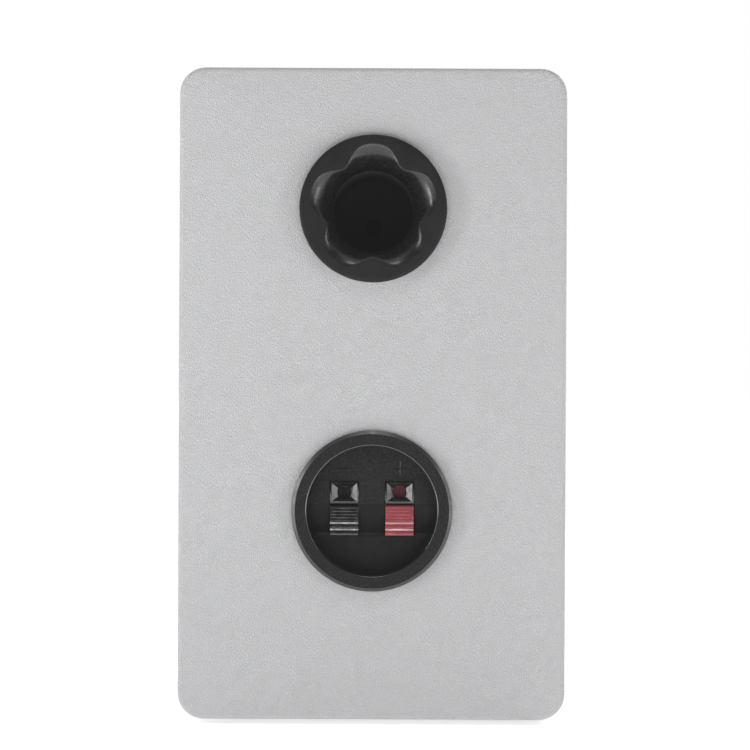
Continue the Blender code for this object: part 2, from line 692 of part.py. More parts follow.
def build_tweeter(frame, baffle, skin):
    """Tweeter: faceplate and motor, and the dome that moves on its axis."""
    back = DRIVER_PROUD - TWEETER_PLATE_THICKNESS
    rebate_floor = back - GAP
    throat_depth = back + 0.8 * MM
    faceplate = place("tweeter_faceplate", turned([
        (TWEETER_RADIUS, DRIVER_PROUD - 0.5 * MM),
        (TWEETER_RADIUS, back),
        (TWEETER_THROAT_RADIUS, back),
        (TWEETER_THROAT_RADIUS, throat_depth),
        (TWEETER_THROAT_RADIUS + 4 * MM, throat_depth + 1.6 * MM),
        (TWEETER_MOUTH_RADIUS, DRIVER_PROUD),
        (TWEETER_RADIUS - 0.5 * MM, DRIVER_PROUD),
    ]), "satin_black_plastic", frame)
    rebate = turned_shell([(TWEETER_RADIUS + REBATE_PLAY, rebate_floor),
                           (TWEETER_RADIUS + REBATE_PLAY, EDGE_RADIUS)])
    opening = turned_shell([(TWEETER_MOTOR_RADIUS + REBATE_PLAY, -BAFFLE_BACK - GAP),
                            (TWEETER_MOTOR_RADIUS + REBATE_PLAY, 0)])
    rebate_cutter = tool("tweeter_rebate", rebate, frame)
    opening_cutter = tool("tweeter_opening", opening, frame)
    shape_with(baffle, rebate_cutter)
    shape_with(baffle, opening_cutter)
    shape_with(skin, rebate_cutter)

    coil_inner = TWEETER_POLE_RADIUS + PLAY
    coil_outer = coil_inner + TWEETER_WINDING
    lip_top = back - GAP
    lip_base = lip_top - TWEETER_LIP
    plate_top = lip_base - GAP
    plate_base = plate_top - TWEETER_TOP_PLATE_THICKNESS
    magnet_top = plate_base - GAP
    magnet_base = magnet_top - TWEETER_MAGNET_THICKNESS
    yoke_top = magnet_base - GAP
    yoke_base = yoke_top - TWEETER_BACK_PLATE_THICKNESS
    plate_radius = TWEETER_MOTOR_RADIUS - 1.5 * MM
    place("tweeter_top_plate", turned([
        (coil_outer + PLAY, plate_top),
        (coil_outer + PLAY, plate_base),
        (plate_radius, plate_base),
        (plate_radius, plate_top),
    ]), "zinc_steel", frame)
    place("tweeter_magnet", turned([
        (coil_outer + 2 * MM, magnet_top),
        (coil_outer + 2 * MM, magnet_base),
        (TWEETER_MOTOR_RADIUS, magnet_base),
        (TWEETER_MOTOR_RADIUS, magnet_top),
    ]), "ferrite", frame)
    place("tweeter_yoke", turned([
        (TWEETER_VENT_RADIUS, yoke_base),
        (plate_radius, yoke_base),
        (plate_radius, yoke_top),
        (TWEETER_POLE_RADIUS, yoke_top),
        (TWEETER_POLE_RADIUS, plate_top),
        (TWEETER_VENT_RADIUS, plate_top),
    ]), "zinc_steel", frame)

    dome_base = lip_base
    dome_outer = dome_arc(DOME_RADIUS, dome_base, DOME_RISE, 3)
    dome_inner = dome_arc(DOME_RADIUS - DOME_WALL, dome_base, DOME_RISE - DOME_WALL, 3)
    place("tweeter_dome", turned_shell(dome_outer[::-1] + dome_inner, 24), "silk_dome", frame)
    coil_top = dome_base - GAP
    coil_base = plate_base - 1 * MM
    place("tweeter_voice_coil", turned([
        (coil_inner, coil_top),
        (coil_inner, coil_base),
        (coil_outer, coil_base),
        (coil_outer, coil_top),
    ], 24), "copper_coil", frame)
    lip_reach = TWEETER_THROAT_RADIUS + TWEETER_LIP_REACH
    roll_start = DOME_RADIUS + GAP
    roll_end = TWEETER_THROAT_RADIUS - GAP
    roll = (roll_end - roll_start) / 2
    centre = (roll_start + roll, (lip_top + lip_base) / 2)
    place("tweeter_suspension", turned(
        arc(centre, roll, 180, 0, 3)
        + [(lip_reach, lip_top), (lip_reach, lip_base)]
        + arc((centre[0], lip_base), roll - 0.5 * MM, 0, 180, 3),
        24), "silk_dome", frame)
    build_screws("tweeter", 3, 90, TWEETER_SCREW_CIRCLE, (baffle, faceplate), frame)
    return yoke_base


def build_port(frame, panel, skin):
    """Flower-edged flange, flare and the tube behind it."""
    outer = PORT_THROAT_RADIUS + PORT_WALL
    loops = [
        circle(PORT_FLANGE_RADIUS, GAP, PORT_STEPS),
        circle(PORT_FLANGE_RADIUS, PORT_PROUD - PORT_ROUND, PORT_STEPS),
        circle(PORT_FLANGE_RADIUS - PORT_ROUND, PORT_PROUD, PORT_STEPS),
    ]
    for turn in (0, 20, 40, 60, 90):
        angle = math.radians(turn)
        z = PORT_PROUD - PORT_FLARE_DEPTH * (1 - math.cos(angle))
        loops.append(lobed_circle(z, math.sin(angle)))
    loops += [
        circle(PORT_THROAT_RADIUS, -PORT_COLLAR_DEPTH, PORT_STEPS),
        circle(outer, -PORT_COLLAR_DEPTH, PORT_STEPS),
        circle(outer, -PORT_COLLAR_DEPTH / 2, PORT_STEPS),
        circle(PORT_BODY_RADIUS, -1 * MM, PORT_STEPS),
        circle(PORT_BODY_RADIUS, GAP, PORT_STEPS),
    ]
    place("port_flange", loft(loops, ring=True), "satin_black_plastic", frame)
    start = -PORT_COLLAR_DEPTH - GAP
    end = start - PORT_TUBE_LENGTH
    place("port_tube", turned([
        (PORT_THROAT_RADIUS, start),
        (PORT_THROAT_RADIUS, end),
        (outer, end),
        (outer, start),
    ]), "gloss_black_plastic", frame)
    hole = turned_shell([(PORT_BODY_RADIUS + GAP, -REAR_PANEL_BACK - GAP),
                         (PORT_BODY_RADIUS + GAP, EDGE_RADIUS)])
    cutter = tool("port_hole", hole, frame)
    shape_with(panel, cutter)
    shape_with(skin, cutter)


def build_lever(label, finish, pivot):
    """A rocking lever: a capped barrel on its pin, with an arm behind the wire hole."""
    top = LEVER_TOP - PIVOT_Y
    face = PIVOT_DEPTH - LEVER_FACE_DEPTH
    crown = face + LEVER_CROWN
    arm_reach = GUIDE_TOP - LEVER_ARM_INSET - PIVOT_Y
    arm_front = PIVOT_DEPTH - GUIDE_FACE_DEPTH - GUIDE_THICKNESS - LEVER_ARM_INSET
    barrel = arc((0, 0), LEVER_BARREL_RADIUS, 270, 90, 8)
    outline = [(y, z) for y, z in barrel] + [
        (0.35 * top, crown - 0.1 * MM),
        (0.62 * top, crown),
        (top - 0.6 * MM, face),
        (top, face - 0.7 * MM),
        (top, arm_front + 1.6 * MM),
        (arm_reach, arm_front),
        (arm_reach, arm_front - LEVER_ARM_THICKNESS),
        (top - 1.4 * MM, arm_front - 0.2 * MM),
        (0.6 * top, -LEVER_BARREL_RADIUS),
    ]
    half = LEVER_WIDTH / 2
    lever = place(f"lever_{label}", prism_x(outline, -half, half), finish, pivot)
    reach = half + LEVER_PIN_REACH
    pin = turned_shell([(LEVER_PIN_RADIUS, -reach), (LEVER_PIN_RADIUS, reach)], 16)
    along_x = (0, math.radians(90), 0)
    shape_with(lever, tool(f"lever_pin_{label}", pin, pivot, rotation=along_x), "UNION")
    bore = LEVER_PIN_RADIUS + GAP
    socket = turned_shell([(bore, -reach - GAP), (bore, reach + GAP)], 16)
    arm_back = (top - 1.4 * MM + PIVOT_Y, arm_front - 0.2 * MM - PIVOT_DEPTH)
    return tool(f"lever_socket_{label}", socket, pivot, rotation=along_x), arm_back


def build_terminals(frame, panel, skin):
    """Recessed cup with two wire guides, levers, springs and contacts."""
    floor = -CUP_FLOOR_DEPTH
    end = -CUP_BODY_DEPTH
    ring_back = GASKET_THICKNESS + 2 * GAP
    cup = place("terminal_cup", turned_shell([
        (0.5 * MM, floor),
        (CUP_RECESS_RADIUS - GAP, floor),
        (CUP_RECESS_RADIUS, CUP_PROUD),
        (CUP_RADIUS - CUP_BEVEL, CUP_PROUD),
        (CUP_RADIUS, CUP_PROUD - CUP_BEVEL),
        (CUP_RADIUS, GAP),
        (CUP_RADIUS - PLAY, GAP),
        (CUP_RADIUS - PLAY, ring_back),
        (CUP_BODY_RADIUS, ring_back),
        (CUP_BODY_RADIUS, end),
        (0.5 * MM, end),
    ], CUP_STEPS), "spark_black_plastic", frame)
    place("terminal_gasket", turned([
        (CUP_BODY_RADIUS + 2 * GAP, GAP),
        (CUP_RADIUS - PLAY - GAP, GAP),
        (CUP_RADIUS - PLAY - GAP, GAP + GASKET_THICKNESS),
        (CUP_BODY_RADIUS + 2 * GAP, GAP + GASKET_THICKNESS),
    ], CUP_STEPS), "foam_gasket", frame)
    hole = turned_shell([(CUP_BODY_RADIUS + GAP, -REAR_PANEL_BACK - GAP),
                         (CUP_BODY_RADIUS + GAP, EDGE_RADIUS)], CUP_STEPS)
    hole_cutter = tool("terminal_hole", hole, frame)
    shape_with(panel, hole_cutter)
    shape_with(skin, hole_cutter)

    middle = (RIDGE_TOP + RIDGE_BOTTOM) / 2
    quarter = (RIDGE_TOP - RIDGE_BOTTOM) / 4
    root = floor - CUP_FLOOR_THICKNESS / 2
    into_wall = CUP_RECESS_RADIUS + (CUP_BODY_RADIUS - CUP_RECESS_RADIUS) / 2
    step = tool("terminal_step", prism_x([
        (RIDGE_BOTTOM, root),
        (RIDGE_BOTTOM, -RIDGE_EDGE_DEPTH),
        (middle - quarter, -RIDGE_QUARTER_DEPTH),
        (middle, -RIDGE_MIDDLE_DEPTH),
        (RIDGE_TOP, -UPPER_FLOOR_DEPTH),
        (CUP_RADIUS, -UPPER_FLOOR_DEPTH),
        (CUP_RADIUS, root),
    ], -CUP_RADIUS, CUP_RADIUS), frame)
    disc = turned_shell([(into_wall, 2 * floor), (into_wall, 0)], CUP_STEPS)
    shape_with(step, tool("terminal_step_edge", disc, frame), "INTERSECT")
    shape_with(cup, step, "UNION")

    half = LEVER_WIDTH / 2 + GAP
    chamber_top = floor - CUP_FLOOR_THICKNESS
    chamber_end = end + CUP_WALL
    slot_low = PIVOT_Y - LEVER_BARREL_RADIUS - PLAY
    slot_high = GUIDE_TOP + GAP
    guide_back = -GUIDE_FACE_DEPTH - GUIDE_THICKNESS
    guide_middle = (GUIDE_TOP + GUIDE_BOTTOM) / 2
    guide_half = LEVER_WIDTH / 2
    contact_y = GUIDE_TOP - CONTACT_THICKNESS
    sockets = []
    for label, side, finish in (("negative", -1, "gloss_black_plastic"),
                                ("positive", 1, "red_plastic")):
        x = side * POLE_PITCH / 2
        pole = empty(f"pole_{label}", (x, 0, 0), parent=frame)
        slot = block((-half, slot_low, chamber_top - 1 * MM), (half, slot_high, 0))
        shape_with(cup, tool(f"terminal_slot_{label}", slot, pole))
        tab_slot = block(
            (-CONTACT_WIDTH / 2 - GAP, contact_y - GAP, end - GAP),
            (CONTACT_WIDTH / 2 + GAP, GUIDE_TOP + GAP, chamber_end + GAP))
        shape_with(cup, tool(f"tab_slot_{label}", tab_slot, pole))

        guide = place(f"wire_guide_{label}", block(
            (-guide_half, GUIDE_BOTTOM, guide_back),
            (guide_half, GUIDE_TOP, -GUIDE_FACE_DEPTH)), "gloss_black_plastic", pole)
        funnel = loft([
            rectangle(FUNNEL_NECK_WIDTH, FUNNEL_NECK_HEIGHT, guide_middle, -FUNNEL_DEPTH),
            rectangle(FUNNEL_WIDTH, FUNNEL_HEIGHT, guide_middle, 0),
        ])
        mouth = (0, 0, -GUIDE_FACE_DEPTH)
        shape_with(guide, tool(f"funnel_{label}", funnel, pole, mouth))
        wire = turned_shell([(WIRE_HOLE_RADIUS, guide_back - GAP),
                             (WIRE_HOLE_RADIUS, -GUIDE_FACE_DEPTH)], 16)
        shape_with(guide, tool(f"wire_hole_{label}", wire, pole, (0, guide_middle, 0)))

        pivot = empty(f"lever_{label}_pivot", (0, PIVOT_Y, -PIVOT_DEPTH), parent=pole)
        socket, arm_back = build_lever(label, finish, pivot)
        sockets.append(socket)

        contact_end = end - CONTACT_TAB_REACH
        foot = GUIDE_TOP - CONTACT_FOOT
        foot_top = guide_back - GAP
        place(f"contact_strip_{label}", prism_x([
            (foot, foot_top),
            (GUIDE_TOP, foot_top),
            (GUIDE_TOP, contact_end),
            (contact_y, contact_end),
            (contact_y, foot_top - CONTACT_THICKNESS),
            (foot, foot_top - CONTACT_THICKNESS),
        ], -CONTACT_WIDTH / 2, CONTACT_WIDTH / 2), "brass", pole)

        rest = chamber_end + GAP
        touch_y = arm_back[0] + 2 * MM
        touch_z = arm_back[1] - 1.5 * MM
        leaf = [(RIDGE_BOTTOM, rest), (arm_back[0] - 4 * MM, rest), (touch_y, touch_z)]
        upper = [(y, z + SPRING_THICKNESS) for y, z in reversed(leaf)]
        place(f"lever_spring_{label}", prism_x(
            leaf + upper, -SPRING_WIDTH / 2, SPRING_WIDTH / 2), "spring_steel", pole)
    chamber = turned_shell([(CUP_BODY_RADIUS - CUP_WALL, chamber_end),
                            (CUP_BODY_RADIUS - CUP_WALL, chamber_top)], CUP_STEPS)
    shape_with(cup, tool("terminal_chamber", chamber, frame))
    for socket in sockets:
        shape_with(cup, socket)


def rectangle(width, height, middle, z):
    """A rectangular loop, centred on x = 0 and y = middle."""
    half = width / 2
    low = middle - height / 2
    high = middle + height / 2
    return [(-half, low, z), (half, low, z), (half, high, z), (-half, high, z)]


def build_crossover():
    """Board with its inductor, capacitor and resistor, on the cabinet's floor."""
    start = FRONT_Y + BOARD_START
    board_base = FLOOR_Z + GAP
    board_top = board_base + BOARD_SHEET
    seat = board_top + GAP
    place("crossover_board", block(
        (-BOARD_WIDTH / 2, start, board_base),
        (BOARD_WIDTH / 2, start + BOARD_LENGTH, board_top)), "circuit_board")
    ring = turned([
        (INDUCTOR_HOLE, 0),
        (INDUCTOR_RADIUS, 0),
        (INDUCTOR_RADIUS, INDUCTOR_HEIGHT),
        (INDUCTOR_HOLE, INDUCTOR_HEIGHT),
    ], 24)
    inductor_x = BOARD_WIDTH / 2 - INDUCTOR_RADIUS - PART_SPACING
    place("crossover_inductor", ring, "copper_coil",
          location=(-inductor_x, start + INDUCTOR_RADIUS + PART_SPACING, seat))
    can = turned_shell([
        (CAPACITOR_RADIUS, -CAPACITOR_LENGTH / 2),
        (CAPACITOR_RADIUS, CAPACITOR_LENGTH / 2),
    ], 16)
    place("crossover_capacitor", can, "capacitor_film",
          location=(inductor_x, start + BOARD_LENGTH - CAPACITOR_RADIUS - PART_SPACING,
                    seat + CAPACITOR_RADIUS),
          rotation=(0, math.radians(90), 0))
    length, width, height = RESISTOR_SIZE
    low = (-length / 2, 0, 0)
    place("crossover_resistor", block(low, (length / 2, width, height)), "cement",
          location=(-inductor_x, start + 2 * INDUCTOR_RADIUS + 3 * PART_SPACING, seat))
    return board_top, start, start + BOARD_LENGTH


def build_wiring(board_top, board_start, board_end, tweeter_back):
    """Twin leads from the terminals and to both drivers, held at both ends."""
    lie = board_top + GAP + CABLE_RADIUS
    cup_z = STAND + CUP_HEIGHT
    tabs_y = REAR_Y - CUP_BODY_DEPTH - CONTACT_TAB_REACH - GAP
    tabs_z = cup_z + GUIDE_TOP
    middle_y = (board_start + board_end) / 2
    cable("input_cable", [
        (0, tabs_y, tabs_z),
        (0, tabs_y - 6 * MM, tabs_z - 3 * MM),
        (0, tabs_y - 12 * MM, tabs_z - 22 * MM),
        (0, tabs_y - 12 * MM, (tabs_z + lie) / 2 - 8 * MM),
        (0, board_end - 3 * MM, lie + 10 * MM),
        (0, board_end - 12 * MM, lie),
    ], CABLE_RADIUS, "cable_jacket")
    woofer_z = STAND + WOOFER_HEIGHT
    strip_z = woofer_z + WOOFER_BODY_RADIUS - LEAD_STRIP_INSET + LEAD_STRIP_SHEET
    strip_z += CABLE_RADIUS + GAP
    strip_y = FRONT_Y + BASKET_DEPTH
    out = WOOFER_MAGNET_RADIUS + 10 * MM
    cable("woofer_cable", [
        (8 * MM, middle_y - 6 * MM, lie),
        (20 * MM, middle_y - 14 * MM, lie + 4 * MM),
        (out, board_start, lie + 26 * MM),
        (out, board_start - 8 * MM, woofer_z),
        (30 * MM, strip_y + 12 * MM, strip_z + 2 * MM),
        (6 * MM, strip_y - 3 * MM, strip_z),
    ], CABLE_RADIUS, "cable_jacket")
    tweeter_z = STAND + TWEETER_HEIGHT
    tweeter_y = FRONT_Y - tweeter_back + GAP
    cable("tweeter_cable", [
        (8 * MM, middle_y + 6 * MM, lie),
        (24 * MM, middle_y, lie + 6 * MM),
        (out + 4 * MM, middle_y - 6 * MM, lie + 40 * MM),
        (out + 2 * MM, middle_y - 12 * MM, woofer_z + 45 * MM),
        (26 * MM, tweeter_y + 26 * MM, tweeter_z - 28 * MM),
        (14 * MM, tweeter_y + 8 * MM, tweeter_z - 19 * MM),
        (14 * MM, tweeter_y + CABLE_RADIUS / 4, tweeter_z - 18 * MM),
    ], CABLE_RADIUS, "cable_jacket")


def build_damping():
    """A soft pad of wadding on the inside of the left board."""
    inner = -(HALF_WIDTH - SKIN - BOARD_THICKNESS - GAP)
    thickness, length, height = DAMPING_SIZE
    middle = (FRONT_Y + BAFFLE_BACK + REAR_Y - REAR_PANEL_BACK) / 2
    start = middle - length / 2
    low = FLOOR_Z + DAMPING_LIFT
    place("damping_pad", block(
        (inner, start, low), (inner + thickness, start + length, low + height)), "wadding")


def main():
    for old in list(bpy.data.objects):
        bpy.data.objects.remove(old)
    middle = STAND + HALF_HEIGHT
    front = empty("front_face", (0, FRONT_Y, middle), FACING_FRONT)
    rear = empty("rear_face", (0, REAR_Y, middle), FACING_REAR)
    baffle, panel, front_skin, rear_skin = build_cabinet(front, rear)
    build_feet()
    woofer = empty("woofer_axis", (0, WOOFER_HEIGHT - HALF_HEIGHT, 0), parent=front)
    tweeter = empty("tweeter_axis", (0, TWEETER_HEIGHT - HALF_HEIGHT, 0), parent=front)
    port = empty("port_axis", (0, PORT_HEIGHT - HALF_HEIGHT, 0), parent=rear)
    terminals = empty("terminal_axis", (0, CUP_HEIGHT - HALF_HEIGHT, 0), parent=rear)
    build_woofer(woofer, baffle, front_skin)
    tweeter_back = build_tweeter(tweeter, baffle, front_skin)
    build_port(port, panel, rear_skin)
    build_terminals(terminals, panel, rear_skin)
    board_top, board_start, board_end = build_crossover()
    build_wiring(board_top, board_start, board_end, tweeter_back)
    build_damping()


main()
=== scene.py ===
"""Looks of the bookshelf speaker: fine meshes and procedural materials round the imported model."""

import math

import bmesh
import bpy
from mathutils import Matrix, Vector


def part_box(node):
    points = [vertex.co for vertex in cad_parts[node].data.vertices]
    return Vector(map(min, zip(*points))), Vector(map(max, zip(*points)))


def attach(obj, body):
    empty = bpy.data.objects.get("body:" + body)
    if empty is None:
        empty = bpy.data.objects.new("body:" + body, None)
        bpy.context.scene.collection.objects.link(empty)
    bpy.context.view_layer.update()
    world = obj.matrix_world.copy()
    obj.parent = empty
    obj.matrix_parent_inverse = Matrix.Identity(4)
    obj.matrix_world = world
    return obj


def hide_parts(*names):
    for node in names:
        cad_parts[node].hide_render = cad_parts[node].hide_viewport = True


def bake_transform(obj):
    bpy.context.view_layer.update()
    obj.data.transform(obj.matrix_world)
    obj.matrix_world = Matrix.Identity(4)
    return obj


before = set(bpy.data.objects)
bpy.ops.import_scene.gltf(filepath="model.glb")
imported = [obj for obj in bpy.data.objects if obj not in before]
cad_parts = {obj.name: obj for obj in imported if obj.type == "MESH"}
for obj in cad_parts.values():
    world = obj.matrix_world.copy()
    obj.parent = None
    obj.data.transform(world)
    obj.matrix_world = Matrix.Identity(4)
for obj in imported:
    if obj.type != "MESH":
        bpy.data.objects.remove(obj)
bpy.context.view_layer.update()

MM = 0.001


# ---------------------------------------------------------------- places read from the frame

def middle(node):
    low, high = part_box(node)
    return (low + high) / 2


def half_width(node):
    low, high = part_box(node)
    return (high.x - low.x) / 2


REAR_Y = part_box("rear_vinyl_skin")[1].y
FRONT_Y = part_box("front_vinyl_skin")[0].y
REAR_SKIN_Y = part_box("rear_vinyl_skin")[0].y
FRONT_SKIN_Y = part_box("front_vinyl_skin")[1].y
CABINET_LOW, CABINET_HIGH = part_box("side_vinyl_wrap")
HALF_WIDTH = half_width("side_vinyl_wrap")
HALF_HEIGHT = (CABINET_HIGH.z - CABINET_LOW.z) / 2
CABINET_Z = middle("side_vinyl_wrap").z
PORT_Z = middle("port_flange").z
CUP_Z = middle("terminal_cup").z
WOOFER_Z = middle("woofer_basket").z
TWEETER_Z = middle("tweeter_faceplate").z

QUARTER = Matrix.Rotation(math.radians(90), 4, "X")
HALF_TURN = Matrix.Rotation(math.radians(180), 4, "Z")


def front_axis(z):
    """Frame on the front face: +z leaves it, +y is up."""
    return Matrix.Translation((0, FRONT_Y, z)) @ QUARTER


def rear_axis(z, x=0.0):
    """Frame on the rear face: +z leaves it, +y is up, +x is to the right seen from behind."""
    return Matrix.Translation((0, REAR_Y, z)) @ HALF_TURN @ QUARTER @ Matrix.Translation((x, 0, 0))


# ---------------------------------------------------------------- sizes of the visible shapes

CORNER_RADIUS = 9.5 * MM
EDGE_RADIUS = 1.8 * MM
CROWN_WIDTH = 16.0 * MM
CROWN_DROP = 0.16 * MM
PORT_HOLE = 24.3 * MM
CUP_HOLE = 26.3 * MM
WOOFER_HOLE = 54.3 * MM
TWEETER_HOLE = 38.3 * MM
VINYL = 0.5 * MM
SEAM = 0.25 * MM

PORT_RADIUS = half_width("port_flange")
PORT_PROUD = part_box("port_flange")[1].y - REAR_Y
PORT_THROAT = 15.0 * MM
PORT_SPIGOT = 17.0 * MM
PORT_SEAT = 24.0 * MM
PORT_LOBE = 20.95 * MM
PORT_SWELL = 2.7 * MM
PORT_WIDEN = 0.5 * MM
PORT_STEPS = 240
PORT_RINGS = 26
FLARE_START = 8
FLARE_DEPTH = 15.5 * MM

CUP_RADIUS = half_width("terminal_cup")
CUP_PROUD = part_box("terminal_cup")[1].y - REAR_Y
CUP_BEVEL = 1.1 * MM
RECESS_RADIUS = 23.5 * MM
RECESS_FLOOR = -7.0 * MM
UPPER_FLOOR = -3.2 * MM
UPPER_RISE = 1.6 * MM
SHOULDER_DROP = 3.0 * MM
SHOULDER_STEPS = 20
WINDOW_HALF = 5.4 * MM
WINDOW_BOTTOM = -9.4 * MM
WINDOW_TOP = 10.75 * MM
RIDGE_TOP = 2.3 * MM
RIDGE_BOTTOM = -8.1 * MM
POLE_X = abs(middle("lever_positive").x)
POLES = (("negative", -1), ("positive", 1))
MARK_Y = 15.3 * MM
MARK_ARM = 2.5 * MM
MARK_HALF_WIDTH = 0.33 * MM
MARK_DEPTH = 0.21 * MM

GUIDE_Y = 6.5 * MM
GUIDE_BACK = -10.1 * MM
GUIDE_SIZE = (10.7 * MM, 8.3 * MM)
FUNNEL_MOUTH = (9.3 * MM, 6.7 * MM)
FUNNEL_NECK = (4.9 * MM, 3.3 * MM)
FUNNEL_DEPTH = 1.35 * MM
WIRE_HOLE = 2.54 * MM

LEVER_PIVOT = (0, -6.4 * MM, -6.0 * MM)
LEVER_HALF = 5.1 * MM
LEVER_LOW = -2.3 * MM
LEVER_HIGH = 8.1 * MM
RIBS = 9
RIB_STEPS = 6
FINE_RIB = 0.03 * MM
BOLD_RIB = 0.41 * MM
BOLD_RIBS = (1, 3)

CONE_NECK = 13.25 * MM
CONE_EDGE = 38.0 * MM
CAP_RADIUS = 17.0 * MM

GAP = 0.3 * MM
TAB_REACH = 31.3 * MM
TAB_RISE = 10.9 * MM
LEAD_LAY = 24 * MM
TINSEL_LAY = 3 * MM
LEAD_BUNDLE = 1.8 * MM
LEAD_WIRE = 0.85 * MM
TINSEL = 0.5 * MM


# ---------------------------------------------------------------- mesh helpers

def circle(radius, z, steps):
    turns = [2 * math.pi * i / steps for i in range(steps)]
    return [(radius * math.cos(a), radius * math.sin(a), z) for a in turns]


def loft(loops, ring=False):
    """A closed body through equal loops: capped at both ends, or joined end to end as a ring."""
    mesh = bmesh.new()
    rows = [[mesh.verts.new(point) for point in loop] for loop in loops]
    pairs = list(zip(rows, rows[1:]))
    if ring:
        pairs.append((rows[-1], rows[0]))
    else:
        mesh.faces.new(rows[0])
        mesh.faces.new(rows[-1])
    for low, high in pairs:
        for i in range(len(low)):
            j = (i + 1) % len(low)
            mesh.faces.new((low[i], low[j], high[j], high[i]))
    bmesh.ops.recalc_face_normals(mesh, faces=mesh.faces)
    return mesh


def turned(outline, steps, ring=True):
    """A body turned round z from (radius, z) points."""
    return loft([circle(radius, z, steps) for radius, z in outline], ring=ring)


def cylinder(radius, low, high, steps):
    return loft([circle(radius, z, steps) for z in (low, high)])


def prism_x(outline, low, high):
    """A closed (y, z) outline extruded along x."""
    return loft([[(x, y, z) for y, z in outline] for x in (low, high)])


def block(low, high):
    corners = ((low[0], low[1]), (high[0], low[1]), (high[0], high[1]), (low[0], high[1]))
    return loft([[(x, y, z) for x, y in corners] for z in (low[2], high[2])])


def rectangle(width, height, z, centre_y=0.0):
    x = width / 2
    y = height / 2
    return [(-x, centre_y - y, z), (x, centre_y - y, z), (x, centre_y + y, z), (-x, centre_y + y, z)]


def arc(centre, radius, start, end, steps):
    """Points on an arc, angles in degrees."""
    points = []
    for i in range(steps + 1):
        angle = math.radians(start + (end - start) * i / steps)
        points.append((centre[0] + radius * math.cos(angle), centre[1] + radius * math.sin(angle)))
    return points


def dome(radius, base, rise, steps):
    """(radius, z) points of a spherical cap from rim to crown."""
    sphere = (radius * radius + rise * rise) / (2 * rise)
    rim = math.degrees(math.acos((sphere - rise) / sphere))
    points = []
    for i in range(steps + 1):
        angle = math.radians(rim * (1 - 0.985 * i / steps))
        points.append((sphere * math.sin(angle), base + rise - sphere * (1 - math.cos(angle))))
    return points


def in_mm(points):
    return [(first * MM, second * MM) for first, second in points]


def linked(name, mesh):
    """A new object in the scene from a bmesh, which is used up."""
    data = bpy.data.meshes.new(name)
    mesh.to_mesh(data)
    mesh.free()
    made = bpy.data.objects.new(name, data)
    bpy.context.collection.objects.link(made)
    return made


def piece(name, mesh, look, place=None, body="cabinet", stands_for=(), sharp=35):
    """A finished piece riding on its body, when one is given. Its slot holds the look's material."""
    if place is not None:
        mesh.transform(place)
    made = linked(name, mesh)
    made.data.materials.append(LOOKS[look])
    shade(made, sharp)
    if body:
        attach(made, body)
    if stands_for:
        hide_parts(*stands_for)
    return made


def shade(made, sharp):
    made.data.shade_smooth()
    made.data.set_sharp_from_angle(angle=math.radians(sharp))


def baked(made):
    """Apply a piece's modifiers to its mesh."""
    graph = bpy.context.evaluated_depsgraph_get()
    mesh = bpy.data.meshes.new_from_object(made.evaluated_get(graph))
    made.modifiers.clear()
    made.data = mesh
    return made


def bevelled(made, width, segments=2, angle=40):
    modifier = made.modifiers.new("round", "BEVEL")
    modifier.width = width
    modifier.segments = segments
    modifier.limit_method = "ANGLE"
    modifier.angle_limit = math.radians(angle)
    return baked(made)


def carved(made, cutters, operation="DIFFERENCE"):
    """Cut each bmesh out of a piece, or join it on."""
    for cutter in cutters:
        tool = linked("cutter", cutter)
        modifier = made.modifiers.new("carve", "BOOLEAN")
        modifier.operation = operation
        modifier.solver = "EXACT"
        modifier.object = tool
        baked(made)
        bpy.data.objects.remove(tool)
    return made


def placed(mesh, place):
    mesh.transform(place)
    return mesh


def smooth_route(points, spacing):
    """Points along a smooth curve through the given ones (Catmull-Rom)."""
    knots = [Vector(point) for point in points]
    knots = [2 * knots[0] - knots[1]] + knots + [2 * knots[-1] - knots[-2]]
    route = []
    for before, start, end, after in zip(knots, knots[1:], knots[2:], knots[3:]):
        steps = max(2, round((end - start).length / spacing))
        for step in range(steps):
            t = step / steps
            bend = (2 * before - 5 * start + 4 * end - after) * t ** 2
            twist = (3 * start - before - 3 * end + after) * t ** 3
            route.append((2 * start + (end - before) * t + bend + twist) / 2)
    route.append(knots[-2])
    return route


def strand(points, radius, offset=0.0, lay=1.0, phase=0.0, sides=12):
    """A round wire along a smooth route, or winding round it at an offset, one turn per lay."""
    route = smooth_route(points, 1.2 * MM)
    normal = (route[1] - route[0]).orthogonal().normalized()
    loops = []
    travelled = 0.0
    for i, spot in enumerate(route):
        ahead = (route[min(i + 1, len(route) - 1)] - route[max(i - 1, 0)]).normalized()
        normal = (normal - ahead * normal.dot(ahead)).normalized()
        side = ahead.cross(normal)
        if i:
            travelled += (spot - route[i - 1]).length
        turn = phase + 2 * math.pi * travelled / lay
        centre = spot + (normal * math.cos(turn) + side * math.sin(turn)) * offset
        angles = [2 * math.pi * step / sides for step in range(sides)]
        loops.append([centre + (normal * math.cos(a) + side * math.sin(a)) * radius for a in angles])
    return loft(loops)


def blend_round(made):
    """Bake a ring-shaped piece's placement into its mesh."""
    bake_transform(made)


# ---------------------------------------------------------------- materials

def map_range(tree, value, low, high, out_low, out_high):
    """A smooth Map Range node, fed with a socket's value."""
    made = tree.nodes.new("ShaderNodeMapRange")
    made.interpolation_type = "SMOOTHSTEP"
    made.inputs["From Min"].default_value = low
    made.inputs["From Max"].default_value = high
    made.inputs["To Min"].default_value = out_low
    made.inputs["To Max"].default_value = out_high
    tree.links.new(value, made.inputs["Value"])
    return made


LOOKS = {}


